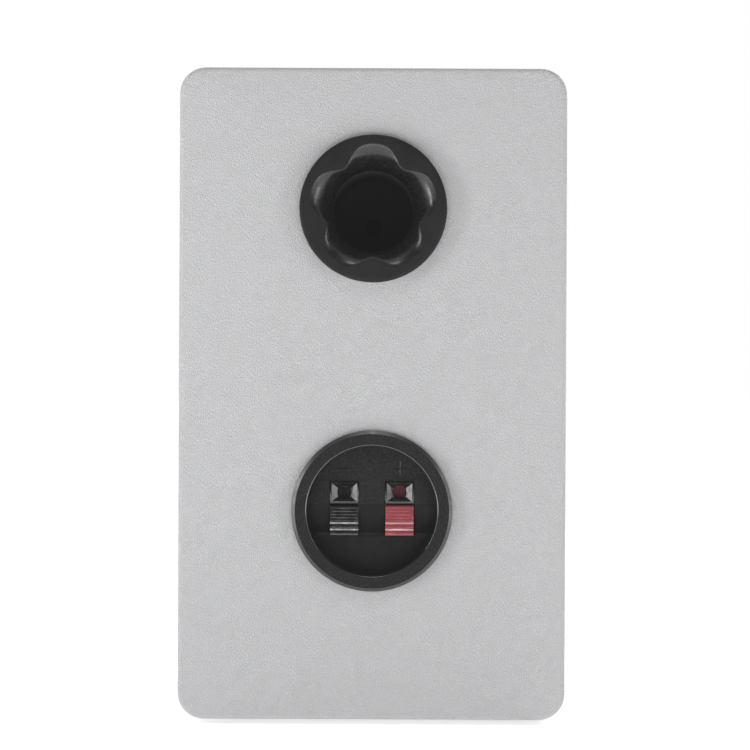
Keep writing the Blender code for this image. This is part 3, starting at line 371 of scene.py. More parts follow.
class Look:
    """A Principled material, with short ways to add procedural texture to it."""

    def __init__(self, name, colour, roughness, metallic=0.0, specular=0.5, **sockets):
        self.material = LOOKS[name] = bpy.data.materials.new(name)
        self.material.use_nodes = True
        self.tree = self.material.node_tree
        self.shader = self.tree.nodes["Principled BSDF"]
        self.shader.inputs["Base Color"].default_value = (*colour, 1.0)
        self.shader.inputs["Roughness"].default_value = roughness
        self.shader.inputs["Metallic"].default_value = metallic
        self.shader.inputs["Specular IOR Level"].default_value = specular
        for socket, value in sockets.items():
            self.shader.inputs[socket.replace("_", " ")].default_value = value
        self.place = self.node("ShaderNodeTexCoord").outputs["Object"]

    def node(self, kind, **settings):
        made = self.tree.nodes.new(kind)
        for key, value in settings.items():
            setattr(made, key, value)
        return made

    def link(self, start, end):
        self.tree.links.new(start, end)

    def stretched(self, scale):
        mapping = self.node("ShaderNodeMapping")
        mapping.inputs["Scale"].default_value = scale
        self.link(self.place, mapping.inputs["Vector"])
        return mapping.outputs["Vector"]

    def noise(self, scale, detail=2.0, place=None, roughness=0.5):
        made = self.node("ShaderNodeTexNoise")
        made.inputs["Scale"].default_value = scale
        made.inputs["Detail"].default_value = detail
        made.inputs["Roughness"].default_value = roughness
        self.link(place or self.place, made.inputs["Vector"])
        return made.outputs["Fac"]

    def cells(self, scale, warp, warp_scale, place=None):
        """Distance to the nearest edge of irregular cells, whose edges wander by warp."""
        source = place or self.place
        wander = self.node("ShaderNodeTexNoise")
        wander.inputs["Scale"].default_value = warp_scale
        wander.inputs["Detail"].default_value = 2.0
        self.link(source, wander.inputs["Vector"])
        shift = self.node("ShaderNodeVectorMath", operation="MULTIPLY_ADD")
        shift.inputs[1].default_value = (warp, warp, warp)
        self.link(wander.outputs["Color"], shift.inputs[0])
        self.link(source, shift.inputs[2])
        made = self.node("ShaderNodeTexVoronoi", feature="DISTANCE_TO_EDGE")
        made.inputs["Scale"].default_value = scale
        self.link(shift.outputs["Vector"], made.inputs["Vector"])
        return made.outputs["Distance"]

    def ramp(self, value, low, high, out_low=0.0, out_high=1.0):
        return map_range(self.tree, value, low, high, out_low, out_high).outputs["Result"]

    def bands(self, direction, pitch, distortion=0.0, detail=2.0):
        """Even light and dark bands, one of each per pitch in metres."""
        made = self.node("ShaderNodeTexWave", wave_type="BANDS", bands_direction=direction)
        made.inputs["Scale"].default_value = 1.0 / pitch / math.pi
        made.inputs["Distortion"].default_value = distortion
        made.inputs["Detail"].default_value = detail
        self.link(self.place, made.inputs["Vector"])
        return made.outputs["Fac"]

    def sum(self, first, second, share):
        """first + share * second."""
        made = self.node("ShaderNodeMath", operation="MULTIPLY_ADD")
        made.inputs[1].default_value = share
        self.link(second, made.inputs[0])
        self.link(first, made.inputs[2])
        return made.outputs["Value"]

    def tint(self, value, first, second):
        made = self.node("ShaderNodeMix", data_type="RGBA")
        made.inputs["A"].default_value = (*first, 1.0)
        made.inputs["B"].default_value = (*second, 1.0)
        self.link(value, made.inputs["Factor"])
        self.link(made.outputs["Result"], self.shader.inputs["Base Color"])

    def dull(self, value, low, high):
        self.link(self.ramp(value, 0.3, 0.7, low, high), self.shader.inputs["Roughness"])

    def bump(self, height, distance, strength=1.0):
        made = self.node("ShaderNodeBump")
        made.inputs["Strength"].default_value = strength
        made.inputs["Distance"].default_value = distance
        self.link(height, made.inputs["Height"])
        self.link(made.outputs["Normal"], self.shader.inputs["Normal"])


def vinyl():
    """Grey-white vinyl with a fine pebbled leather grain, whose creases are painted darker as shade.
    """
    look = Look("white_vinyl", (0.55, 0.55, 0.56), 0.5, specular=0.35)
    grain = look.stretched((1.0, 1.0, 0.7))
    pebble_and_crease_shade = look.ramp(look.cells(1450, 0.0006, 900, grain), 0.0, 0.3)
    fine = look.noise(3000, 2.0)
    slow = look.noise(70, 2.0)
    height = look.sum(pebble_and_crease_shade, fine, 0.3)
    # Painted shade: the creases between pebbles get the darker colour, and the slow noise adds random
    # tone.
    look.tint(look.sum(pebble_and_crease_shade, slow, 0.4), (0.452, 0.452, 0.463), (0.512, 0.512, 0.523))
    look.dull(fine, 0.4, 0.58)
    look.bump(height, 0.00016, 1.0)


def moulded(name, colour, roughness, specular=0.5, grain=3800, relief=0.000012, **sockets):
    """Moulded plastic with a fine surface grain."""
    look = Look(name, colour, roughness, specular=specular, **sockets)
    fine = look.noise(grain, 3.0)
    slow = look.noise(160, 3.0)
    lighter = tuple(min(1.0, c * 1.18 + 0.002) for c in colour)
    look.tint(look.ramp(slow, 0.3, 0.7), colour, lighter)
    look.dull(look.noise(420, 4.0), max(0.03, roughness - 0.05), roughness + 0.07)
    look.bump(fine, relief, 0.8)


def sparked(name, colour, painted_glint, roughness):
    """Plastic from a spark-eroded mould: a coarse grain, with painted glints (a lighter colour) on its
    crests.
    """
    look = Look(name, colour, roughness, specular=0.22)
    grain = look.noise(2100, 4.0, roughness=0.75)
    fine = look.noise(5200, 2.0)
    # Painted highlight: the grain's crests take the lighter painted glint colour.
    look.tint(look.ramp(grain, 0.48, 0.66), colour, painted_glint)
    look.dull(fine, roughness - 0.12, roughness + 0.1)
    look.bump(look.sum(grain, fine, 0.3), 0.00025, 1.0)


def fibreboard():
    look = Look("mdf", (0.42, 0.29, 0.17), 0.85, specular=0.2)
    fibre = look.noise(900, 5.0, look.stretched((1.0, 1.0, 3.0)))
    look.tint(look.ramp(fibre, 0.3, 0.7), (0.34, 0.22, 0.12), (0.5, 0.36, 0.22))
    look.bump(fibre, 0.0001, 0.6)


def rubber(name, colour, roughness=0.62, grain=1500, relief=0.00003):
    look = Look(name, colour, roughness, specular=0.35)
    fine = look.noise(grain, 4.0)
    look.tint(look.noise(90, 3.0), colour, tuple(c * 1.5 + 0.004 for c in colour))
    look.dull(fine, roughness - 0.1, roughness + 0.1)
    look.bump(fine, relief, 0.8)


def metal(name, colour, roughness, brushed=(1.0, 1.0, 1.0), scale=1400, metallic=1.0):
    look = Look(name, colour, roughness, metallic=metallic)
    lines = look.noise(scale, 4.0, look.stretched(brushed))
    look.tint(look.ramp(lines, 0.25, 0.75), tuple(c * 0.85 for c in colour), colour)
    look.dull(lines, roughness - 0.08, roughness + 0.1)
    look.bump(lines, 0.000008, 0.7)


def pulp(name, colour, roughness):
    """Coated paper pulp: short felted fibres."""
    look = Look(name, colour, roughness, specular=0.4)
    fibre = look.cells(1500, 0.0015, 900)
    fine = look.noise(3200, 4.0)
    height = look.sum(look.ramp(fibre, 0.0, 0.2), fine, 0.9)
    look.tint(fine, colour, tuple(c * 1.9 + 0.006 for c in colour))
    look.dull(fine, roughness - 0.12, roughness + 0.12)
    look.bump(height, 0.00006, 0.8)


def woven(name, dark, light, pitch, roughness=0.85):
    """Cloth: two crossing sets of threads."""
    look = Look(name, light, roughness, specular=0.25, Sheen_Weight=0.2)
    threads = look.node("ShaderNodeMath", operation="MULTIPLY")
    look.link(look.bands("X", pitch, 0.6, 1.0), threads.inputs[0])
    look.link(look.bands("Z", pitch, 0.6, 1.0), threads.inputs[1])
    look.tint(look.sum(threads.outputs["Value"], look.noise(300, 3.0), 0.4), dark, light)
    look.bump(threads.outputs["Value"], 0.00008, 0.8)


def wound(name, colour, pitch, direction="Y"):
    """Enamelled wire laid turn beside turn."""
    look = Look(name, colour, 0.3, metallic=0.9, Coat_Weight=0.4)
    turns = look.bands(direction, pitch)
    look.tint(turns, tuple(c * 0.35 for c in colour), colour)
    look.bump(turns, 0.0001, 0.9)


def circuit():
    look = Look("circuit_board", (0.05, 0.22, 0.1), 0.35, specular=0.5)
    tracks = look.ramp(look.cells(90, 0.004, 30), 0.0, 0.08)
    look.tint(tracks, (0.09, 0.3, 0.14), (0.03, 0.15, 0.07))
    look.bump(tracks, 0.00006, 0.8)


def banded(name, first, second, roughness):
    """A wrapped or cast body with faint bands of colour."""
    look = Look(name, first, roughness)
    bands = look.noise(500, 3.0, look.stretched((0.2, 1.0, 1.0)))
    look.tint(look.ramp(bands, 0.35, 0.65), first, second)
    look.dull(bands, roughness - 0.08, roughness + 0.08)
    look.bump(bands, 0.00003, 0.7)


def wadding():
    look = Look("wadding", (0.78, 0.78, 0.75), 1.0, specular=0.1, Sheen_Weight=0.6)
    tangle = look.cells(420, 0.004, 260)
    fine = look.noise(1600, 5.0)
    look.tint(look.sum(look.ramp(tangle, 0.0, 0.3), fine, 0.4), (0.55, 0.55, 0.52), (0.86, 0.86, 0.83))
    look.bump(look.sum(tangle, fine, 0.8), 0.0008, 1.0)


def build_looks():
    """Every material of the speaker, kept in LOOKS under its name."""
    vinyl()
    moulded("satin_black", (0.006, 0.006, 0.0068), 0.45, specular=0.2)
    moulded("flare_black", (0.006, 0.006, 0.0065), 0.28, specular=0.62, grain=300, relief=0.0000003)
    moulded("tube_black", (0.07, 0.07, 0.072), 0.6, specular=0.3)
    # The last colour is the painted glint for the grain's crests.
    sparked("sparked_black", (0.002, 0.002, 0.0025), (0.03, 0.03, 0.033), 0.5)
    moulded("bevel_black", (0.010, 0.010, 0.0105), 0.34, specular=0.8, relief=0.000006)
    moulded("edge_black", (0.008, 0.008, 0.009), 0.1, specular=1.0, relief=0.000001)
    moulded("smooth_black", (0.002, 0.002, 0.0025), 0.42, specular=0.12, relief=0.000004)
    moulded("polished_black", (0.005, 0.005, 0.006), 0.14, specular=0.33, relief=0.000002)
    moulded("lever_black", (0.004, 0.004, 0.005), 0.2, specular=0.7, relief=0.000003)
    moulded("lever_red", (0.25, 0.034, 0.046), 0.2, specular=0.7, relief=0.000003,
            Subsurface_Weight=0.15, Subsurface_Scale=0.001)
    moulded("faceplate", (0.012, 0.012, 0.0125), 0.46, specular=0.4, grain=2600, relief=0.00003)
    moulded("basket_black", (0.011, 0.011, 0.0115), 0.42, specular=0.45, grain=1500, relief=0.00003)
    rubber("foot_rubber", (0.03, 0.03, 0.031))
    rubber("trim_rubber", (0.012, 0.012, 0.0125), 0.66, 2200, 0.00005)
    rubber("surround_rubber", (0.009, 0.009, 0.0095), 0.36, 900, 0.000012)
    rubber("foam", (0.05, 0.05, 0.05), 0.9, 2600, 0.0001)
    pulp("cone_paper", (0.012, 0.012, 0.013), 0.62)
    pulp("dust_cap_paper", (0.014, 0.014, 0.015), 0.42)
    woven("silk_dome", (0.01, 0.01, 0.011), (0.035, 0.035, 0.037), 0.0004, 0.5)
    woven("spider_cloth", (0.3, 0.19, 0.05), (0.55, 0.38, 0.14), 0.0009)
    fibreboard()
    metal("zinc_steel", (0.55, 0.55, 0.52), 0.35)
    metal("blackened_steel", (0.16, 0.16, 0.165), 0.7, metallic=0.1)
    metal("spring_steel", (0.62, 0.62, 0.63), 0.28, (1.0, 1.0, 8.0))
    metal("brass", (0.72, 0.52, 0.22), 0.28, (8.0, 1.0, 1.0))
    metal("tinsel_braid", (0.72, 0.68, 0.6), 0.4, (1.0, 6.0, 1.0), 5000)
    metal("black_screw", (0.05, 0.05, 0.052), 0.34, metallic=0.8)
    rubber("ferrite", (0.02, 0.02, 0.022), 0.72, 700, 0.0001)
    wound("copper_coil", (0.7, 0.33, 0.18), 0.0004)
    wound("inductor_winding", (0.7, 0.33, 0.18), 0.0009, "Z")
    circuit()
    banded("capacitor_film", (0.6, 0.12, 0.05), (0.5, 0.08, 0.03), 0.32)
    banded("cement", (0.7, 0.68, 0.62), (0.62, 0.6, 0.54), 0.85)
    banded("terminal_board", (0.32, 0.2, 0.1), (0.24, 0.14, 0.06), 0.55)
    banded("red_jacket", (0.42, 0.02, 0.02), (0.34, 0.012, 0.015), 0.38)
    banded("black_jacket", (0.02, 0.02, 0.021), (0.032, 0.032, 0.033), 0.4)
    wadding()


CARRIED = {
    "mdf": ("front_baffle", "rear_panel", "left_side_panel", "right_side_panel", "top_panel",
            "bottom_panel"),
    "foam": ("terminal_gasket",),
    "brass": ("contact_strip_negative", "contact_strip_positive"),
    "zinc_steel": ("woofer_top_plate", "woofer_yoke"),
    "blackened_steel": ("tweeter_top_plate", "tweeter_yoke"),
    "ferrite": ("woofer_magnet", "tweeter_magnet"),
    "copper_coil": ("woofer_voice_coil", "tweeter_voice_coil"),
    "terminal_board": ("woofer_terminal_strip",),
    "circuit_board": ("crossover_board",),
    "inductor_winding": ("crossover_inductor",),
    "capacitor_film": ("crossover_capacitor",),
    "cement": ("crossover_resistor",),
}


def dress_carried_nodes():
    """Give the CAD nodes that stay their finished materials."""
    for look, nodes in CARRIED.items():
        for node in nodes:
            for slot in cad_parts[node].material_slots:
                slot.material = LOOKS[look]


# ---------------------------------------------------------------- cabinet

def outline(inset, z, steps=14):
    """The cabinet's rounded outline, drawn in by inset."""
    radius = max(CORNER_RADIUS - inset, 0.4 * MM)
    across = HALF_WIDTH - inset - radius
    upright = HALF_HEIGHT - inset - radius
    corners = ((across, upright), (-across, upright), (-across, -upright), (across, -upright))
    points = []
    for quarter, (x, y) in enumerate(corners):
        for step in range(steps + 1):
            angle = math.radians(90) * (quarter + step / steps)
            points.append((x + radius * math.cos(angle), y + radius * math.sin(angle), z))
    return points


def skin_mesh(depth):
    """A vinyl tray: softly crowned face, rounded edge, and a rim that turns in at its end."""
    outer = [outline(SEAM, -depth), outline(0, -depth + SEAM)]
    for angle in range(0, 91, 10):
        turn = math.radians(angle)
        drawn_in = EDGE_RADIUS * (1 - math.cos(turn))
        lift = EDGE_RADIUS * (math.sin(turn) - 1) - CROWN_DROP
        outer.append(outline(drawn_in, lift))
    for share in (0.15, 0.3, 0.5, 0.7, 0.85, 1.0):
        drop = CROWN_DROP * (1 - share) ** 2
        outer.append(outline(EDGE_RADIUS + (CROWN_WIDTH - EDGE_RADIUS) * share, -drop))
    inner = [outline(VINYL, -depth), outline(VINYL, -EDGE_RADIUS), outline(EDGE_RADIUS, -VINYL)]
    return loft(outer[::-1] + inner)


def build_cabinet():
    rear_holes = ((PORT_Z, PORT_HOLE), (CUP_Z, CUP_HOLE))
    front_holes = ((WOOFER_Z, WOOFER_HOLE), (TWEETER_Z, TWEETER_HOLE))
    for name, axis, depth, holes, steps in (
        ("rear", rear_axis, REAR_Y - REAR_SKIN_Y, rear_holes, 96),
        ("front", front_axis, FRONT_SKIN_Y - FRONT_Y, front_holes, 128),
    ):
        skin = piece(f"{name}_skin", skin_mesh(depth), "white_vinyl", axis(CABINET_Z),
                     stands_for=[f"{name}_vinyl_skin"])
        carved(skin, [placed(cylinder(r, -3 * MM, 2 * MM, steps), axis(z)) for z, r in holes])
        shade(skin, 30)
    near = CABINET_LOW.y - FRONT_Y
    far = CABINET_HIGH.y - FRONT_Y
    loops = [outline(SEAM, -near), outline(0, -near - SEAM), outline(0, -far + SEAM),
             outline(SEAM, -far), outline(VINYL, -far), outline(VINYL, -near)]
    piece("side_wrap", loft(loops, ring=True), "white_vinyl", front_axis(CABINET_Z),
          stands_for=["side_vinyl_wrap"])


def build_feet():
    for node in ("foot_front_left", "foot_front_right", "foot_rear_left", "foot_rear_right"):
        low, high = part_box(node)
        centre = middle(node)
        radius = half_width(node)
        height = high.z - low.z
        profile = [(0.2 * MM, 0.25 * MM), (radius * 0.62, 0.25 * MM), (radius * 0.68, 0.0),
                   (radius - 0.5 * MM, 0.0)]
        profile += arc((radius - 0.5 * MM, 0.5 * MM), 0.5 * MM, -60, 0, 4)
        profile += [(radius - 0.15 * MM, height), (0.2 * MM, height)]
        place = Matrix.Translation((centre.x, centre.y, low.z))
        piece(f"{node}_pad", turned(profile, 64, ring=False), "foot_rubber", place,
              stands_for=[node])


# ---------------------------------------------------------------- port

def lobe_edge(angle):
    """Radius of the five-lobed edge: wide round lobes with narrower bulges between them."""
    turn = 5 * (angle - math.pi / 2)
    return PORT_LOBE + PORT_SWELL * math.cos(turn) - PORT_WIDEN * math.cos(2 * turn)


def lobed(z, share, start=None):
    """A loop between a round edge (start) or the throat, and the five-lobed edge."""
    points = []
    for i in range(PORT_STEPS):
        angle = 2 * math.pi * i / PORT_STEPS
        edge = lobe_edge(angle)
        other = PORT_THROAT if start is None else start
        radius = edge + (other - edge) * share
        points.append((radius * math.cos(angle), radius * math.sin(angle), z))
    return points


def build_port():
    rim = PORT_RADIUS - 0.9 * MM
    loops = [circle(radius, 0.05 * MM, PORT_STEPS) for radius in (PORT_SEAT, PORT_RADIUS)]
    for r, z in arc((rim, PORT_PROUD - 0.9 * MM), 0.9 * MM, 0, 90, 8):
        loops.append(circle(r, z, PORT_STEPS))
    for share in (0.75, 0.5, 0.25, 0.04):
        loops.append(lobed(PORT_PROUD, share, start=rim))
    flare = len(loops) * PORT_STEPS
    begin = math.radians(FLARE_START)
    for step in range(PORT_RINGS):
        turn = math.radians(FLARE_START + (90 - FLARE_START) * step / (PORT_RINGS - 1))
        share = (math.sin(turn) - math.sin(begin)) / (1 - math.sin(begin))
        fall = (math.cos(begin) - math.cos(turn)) / math.cos(begin)
        loops.append(lobed(PORT_PROUD - 0.03 * MM - FLARE_DEPTH * fall, share))
    for radius, z in ((PORT_THROAT, -18.0 * MM), (PORT_SPIGOT, -18.0 * MM), (PORT_SPIGOT, -9.0 * MM),
                      (PORT_SEAT, -1.0 * MM)):
        loops.append(circle(radius, z, PORT_STEPS))
    flange = piece("port_trim", loft(loops, ring=True), "satin_black", rear_axis(PORT_Z),
                   stands_for=["port_flange"], sharp=14)
    flange.data.materials.append(LOOKS["flare_black"])
    for face in flange.data.polygons:
        if flare <= min(face.vertices) and max(face.vertices) <= flare + (PORT_RINGS + 1) * PORT_STEPS:
            face.material_index = 1
    low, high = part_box("port_tube")
    start = high.y - REAR_Y
    end = low.y - REAR_Y
    outer = half_width("port_tube")
    profile = [(PORT_THROAT, start), (PORT_THROAT, end + 0.8 * MM), (PORT_THROAT + 0.5 * MM, end),
               (outer - 0.3 * MM, end), (outer, end + 0.3 * MM), (outer, start)]
    piece("port_duct", turned(profile, 128), "tube_black", rear_axis(PORT_Z),
          stands_for=["port_tube"])


# ---------------------------------------------------------------- terminal cup

def build_cup():
    place = rear_axis(CUP_Z)
    top = CUP_PROUD
    profile = [
        (RECESS_RADIUS - 0.35 * MM, RECESS_FLOOR - 2.4 * MM),
        (RECESS_RADIUS - 0.3 * MM, RECESS_FLOOR),
        (RECESS_RADIUS, top - 0.5 * MM),
    ]
    profile += arc((RECESS_RADIUS + 0.5 * MM, top - 0.5 * MM), 0.5 * MM, 170, 95, 7)
    profile += [(RECESS_RADIUS + 0.6 * MM, top), (CUP_RADIUS - CUP_BEVEL - 0.1 * MM, top)]
    profile += [(CUP_RADIUS - CUP_BEVEL, top - 0.06 * MM), (CUP_RADIUS - 0.12 * MM, top - 0.65 * MM)]
    profile += [(CUP_RADIUS, top - 0.95 * MM), (CUP_RADIUS, 0.05 * MM)]
    profile += [(26.0 * MM, 0.05 * MM), (26.0 * MM, -24.0 * MM), (23.6 * MM, -24.0 * MM),
                (23.6 * MM, RECESS_FLOOR - 2.4 * MM)]
    shell = piece("terminal_shell", turned(profile, 200), "sparked_black", place,
                  stands_for=["terminal_cup"], sharp=24)
    shell.data.materials.append(LOOKS["edge_black"])
    shell.data.materials.append(LOOKS["bevel_black"])
    axis = Vector((0, REAR_Y, CUP_Z))
    for face in shell.data.polygons:
        offset = face.center - axis
        radius = math.hypot(offset.x, offset.z)
        if radius < RECESS_RADIUS + 0.5 * MM:
            face.material_index = 1
        elif radius > CUP_RADIUS - CUP_BEVEL - 0.1 * MM:
            face.material_index = 2

    shoulder = []
    for i in range(SHOULDER_STEPS + 1):
        share = i / SHOULDER_STEPS
        y = RIDGE_BOTTOM + (RIDGE_TOP - RIDGE_BOTTOM) * share
        shoulder.append((y, UPPER_FLOOR - SHOULDER_DROP * (1 - share) ** 2.2))
    base = RECESS_FLOOR - 2.4 * MM
    reach = RECESS_RADIUS + 0.5 * MM
    outline_yz = [(-reach, base), (-reach, RECESS_FLOOR), (RIDGE_BOTTOM, RECESS_FLOOR)] + shoulder
    outline_yz += [(WINDOW_TOP + 0.4 * MM, UPPER_FLOOR), (reach, UPPER_FLOOR + UPPER_RISE)]
    outline_yz += [(reach, base)]
    floor = piece("terminal_floor", prism_x(outline_yz, -reach, reach), "sparked_black", place)
    disc = cylinder(RECESS_RADIUS - 0.1 * MM, base - 1 * MM, 4 * MM, 200)
    carved(floor, [placed(disc, place)], "INTERSECT")
    windows = []
    for side in (-1, 1):
        pole = rear_axis(CUP_Z, side * POLE_X)
        low = (-WINDOW_HALF, WINDOW_BOTTOM, base - 1 * MM)
        windows.append(placed(block(low, (WINDOW_HALF, WINDOW_TOP, 3 * MM)), pole))
    carved(floor, windows)
    bevelled(floor, 0.12 * MM, 2, 50)
    carved(floor, mark_cutters(place))
    floor.data.materials.append(LOOKS["smooth_black"])
    floor.data.materials.append(LOOKS["polished_black"])
    for face in floor.data.polygons:
        offset = face.center - axis
        if offset.z < RIDGE_TOP + 0.05 * MM or abs(face.normal.y) < 0.5:
            face.material_index = 1
        elif abs(offset.z - MARK_Y) < MARK_ARM + 0.1 * MM and abs(face.normal.y) < 0.95:
            face.material_index = 2
    shade(floor, 28)


def mark_cutters(place):
    """V grooves for the minus and the plus over the poles."""
    climb = UPPER_RISE / (RECESS_RADIUS - WINDOW_TOP)
    floor = UPPER_FLOOR + climb * (MARK_Y - WINDOW_TOP)
    tilt = Matrix.Rotation(math.atan(climb), 4, "X")
    wide = MARK_HALF_WIDTH
    lip = 0.3 * MM
    reach = wide * (1 + lip / MARK_DEPTH)
    cutters = []
    for x, turn in ((-POLE_X, 0), (POLE_X, 0), (POLE_X, 90)):
        groove = [[(end, -reach, lip), (end, reach, lip), (end, 0, -MARK_DEPTH)]
                  for end in (-MARK_ARM, MARK_ARM)]
        spot = place @ Matrix.Translation((x, MARK_Y, floor)) @ tilt
        cutters.append(placed(loft(groove), spot @ Matrix.Rotation(math.radians(turn), 4, "Z")))
    return cutters


def build_guides():
    """Wire guides: a polished frame, a four-sided funnel and a round hole."""
    face = UPPER_FLOOR - 0.25 * MM
    for label, side in POLES:
        pole = rear_axis(CUP_Z, side * POLE_X)
        body = loft([rectangle(*GUIDE_SIZE, z, GUIDE_Y) for z in (GUIDE_BACK, face)])
        guide = piece(f"guide_{label}", body, "polished_black", pole,
                      stands_for=[f"wire_guide_{label}"])
        bevelled(guide, 0.2 * MM, 3)
        funnel = loft([rectangle(*FUNNEL_NECK, face - FUNNEL_DEPTH, GUIDE_Y),
                       rectangle(*FUNNEL_MOUTH, face + 0.05 * MM, GUIDE_Y)])
        hole = cylinder(WIRE_HOLE, GUIDE_BACK - 1 * MM, face + 1 * MM, 64)
        hole.transform(Matrix.Translation((0, GUIDE_Y, 0)))
        carved(guide, [placed(funnel, pole), placed(hole, pole)])
        shade(guide, 15)


def lever_section():
    """Side view of a lever about its pivot: a ribbed scoop in front, an arm behind."""
    front = []
    for rib in range(RIBS):
        for step in range(RIB_STEPS):
            share = (rib + step / RIB_STEPS) / RIBS
            y = LEVER_LOW + (LEVER_HIGH - LEVER_LOW) * share
            if rib in BOLD_RIBS:
                bulge = BOLD_RIB * min(step / 2, (RIB_STEPS - step) / 4)
            else:
                bulge = FINE_RIB * math.sin(math.pi * step / RIB_STEPS)
            scoop = 3.1 * MM + 0.95 * MM * (1 - share)
            front.append((y, scoop + bulge))
    barrel = arc((0, 0), 2.6 * MM, 265, 165, 10)
    lip = in_mm([(-2.6, 3.2), (-2.55, 3.9)])
    back = in_mm([(8.3, 2.4), (8.3, -4.4), (15.2, -6.2), (15.2, -7.5), (6.9, -6.4), (5.0, -2.6)])
    return barrel + lip + front + back


def build_levers():
    section = lever_section()
    for (label, side), colour in zip(POLES, ("black", "red")):
        pivot = rear_axis(CUP_Z, side * POLE_X) @ Matrix.Translation(LEVER_PIVOT)
        lever = piece(f"push_lever_{label}", prism_x(section, -LEVER_HALF, LEVER_HALF),
                      f"lever_{colour}", pivot, body=f"lever_{label}",
                      stands_for=[f"lever_{label}"])
        shade(lever, 50)


# ---------------------------------------------------------------- drivers

def cone_height(radius):
    """Height of the cone's face, from the coil former at its neck to its edge."""
    neck = CONE_NECK - 0.05 * MM
    share = min(1.0, (radius - neck) / (CONE_EDGE - neck))
    return -2.0 * MM - 20.0 * MM * (1 - share) ** 1.35


def build_woofer():
    place = front_axis(WOOFER_Z)
    steps = 160
    ring = arc((53.4 * MM, -0.2 * MM), 0.6 * MM, 0, 90, 5)
    basket = in_mm([(54.0, -3.2)]) + ring + in_mm([
        (49.2, 0.4), (48.2, 0.1), (47.8, -0.4), (47.8, -1.7), (43.5, -1.7), (43.5, -3.2),
        (44.9, -3.2), (44.9, -7.0), (32.5, -25.7), (28.0, -25.7), (28.0, -27.2), (32.5, -27.2),
        (32.5, -31.2), (16.0, -31.2), (16.0, -32.7), (34.0, -32.7), (34.0, -25.7), (46.4, -7.0),
        (46.4, -3.2),
    ])
    frame_piece = piece("woofer_frame", turned(basket, steps), "basket_black", place,
                        stands_for=["woofer_basket"], sharp=30)
    bars = []
    for turn in (30, 90, 150):
        bar = block((-48 * MM, -10 * MM, -23.2 * MM), (48 * MM, 10 * MM, -9.5 * MM))
        bars.append(placed(bar, place @ Matrix.Rotation(math.radians(turn), 4, "Z")))
    carved(frame_piece, bars)
    shade(frame_piece, 30)

    trim = in_mm([(44.0, -0.7), (47.5, -0.7), (47.5, 0.6)])
    trim += arc((46.9 * MM, 0.5 * MM), 0.6 * MM, 0, 90, 5)
    trim += arc((44.6 * MM, 0.5 * MM), 0.6 * MM, 90, 180, 5)
    piece("woofer_gasket_ring", turned(trim, steps), "trim_rubber", place,
          stands_for=["woofer_trim_ring"], sharp=40)

    radii = [CONE_NECK + (CONE_EDGE - CONE_NECK) * i / 24 for i in range(25)]
    front = [(r, cone_height(r)) for r in radii]
    back = [(r, cone_height(r) - 0.9 * MM) for r in reversed(radii)]
    piece("woofer_diaphragm_cone", turned(front + back, steps), "cone_paper", place,
          body="woofer_diaphragm", stands_for=["woofer_cone"], sharp=50)

    base = cone_height(CAP_RADIUS) + 0.05 * MM
    outer = dome(CAP_RADIUS, base, 6.1 * MM, 18)
    inner = dome(CAP_RADIUS - 0.6 * MM, base, 5.4 * MM, 18)
    skirt = [(CAP_RADIUS + 0.9 * MM, cone_height(CAP_RADIUS + 0.9 * MM) + 0.05 * MM)]
    piece("woofer_cap", turned(outer[::-1] + skirt + inner, 120, ring=False), "dust_cap_paper",
          place, body="woofer_diaphragm", stands_for=["woofer_dust_cap"],
          sharp=50)

    lip = -1.35 * MM
    roll_centre = (40.75 * MM, -1.1 * MM)
    top = [(35.6 * MM, cone_height(35.6 * MM) + 0.35 * MM), (37.6 * MM, -1.35 * MM)]
    top += arc(roll_centre, 2.75 * MM, 176, 4, 22)
    top += in_mm([(43.9, -1.0), (47.4, -1.0)])
    low = [(47.4 * MM, lip), (43.6 * MM, lip)]
    low += arc(roll_centre, 2.35 * MM, 0, 180, 22)
    low += [(37.8 * MM, -1.75 * MM), (35.6 * MM, cone_height(35.6 * MM) + 0.03 * MM)]
    surround = piece("woofer_roll", turned(top + low, steps), "surround_rubber", place,
                     body=None, stands_for=["woofer_surround"], sharp=40)
    blend_round(surround)


def build_woofer_suspension():
    """The corrugated spider behind the cone, and the tinsel leads that hang between strip and cone."""
    place = front_axis(WOOFER_Z)
    low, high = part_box("woofer_spider")
    base = FRONT_Y - high.y
    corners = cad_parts["woofer_spider"].data.vertices
    inner = min(math.hypot(v.co.x, v.co.z - WOOFER_Z) for v in corners)
    outer = half_width("woofer_spider")
    depth = high.y - low.y
    cloth = 0.35 * MM
    swing = (depth - cloth) / 2
    waves = 6
    steps = 72
    upper = []
    for i in range(steps + 1):
        share = i / steps
        flat = min(1.0, share / 0.08, (1 - share) / 0.08)
        lift = swing * (1 - math.cos(2 * math.pi * waves * share) * flat)
        upper.append((inner + (outer - inner) * share, base + cloth + lift * flat))
    lower = [(r, z - cloth) for r, z in reversed(upper)]
    spider = piece("woofer_spider_cloth", turned(upper + lower, 128), "spider_cloth", place, body=None,
                   stands_for=["woofer_spider"], sharp=60)
    blend_round(spider)

    for label in ("a", "b"):
        node = f"woofer_tinsel_lead_{label}"
        low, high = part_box(node)
        side = 1 if middle(node).x > 0 else -1
        out_x = max(abs(low.x), abs(high.x)) - TINSEL
        in_x = min(abs(low.x), abs(high.x)) + TINSEL
        route = [Vector((side * out_x, high.y - TINSEL, high.z - TINSEL))]
        landing = Vector((side * in_x, low.y + TINSEL, low.z + TINSEL))
        sag = route[0].lerp(landing, 0.45) + Vector((0, 2.2 * MM, 0))
        route += [sag, landing]
        wires = strand(route, TINSEL * 0.55, TINSEL * 0.42, TINSEL_LAY, 0.0, 8)
        for phase in (2.09, 4.19):
            more = strand(route, TINSEL * 0.55, TINSEL * 0.42, TINSEL_LAY, phase, 8)
            data = bpy.data.meshes.new("strand")
            more.to_mesh(data)
            more.free()
            wires.from_mesh(data)
        lead = piece(f"tinsel_braid_{label}", wires, "tinsel_braid", body=None, stands_for=[node],
                     sharp=60)
        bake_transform(lead)


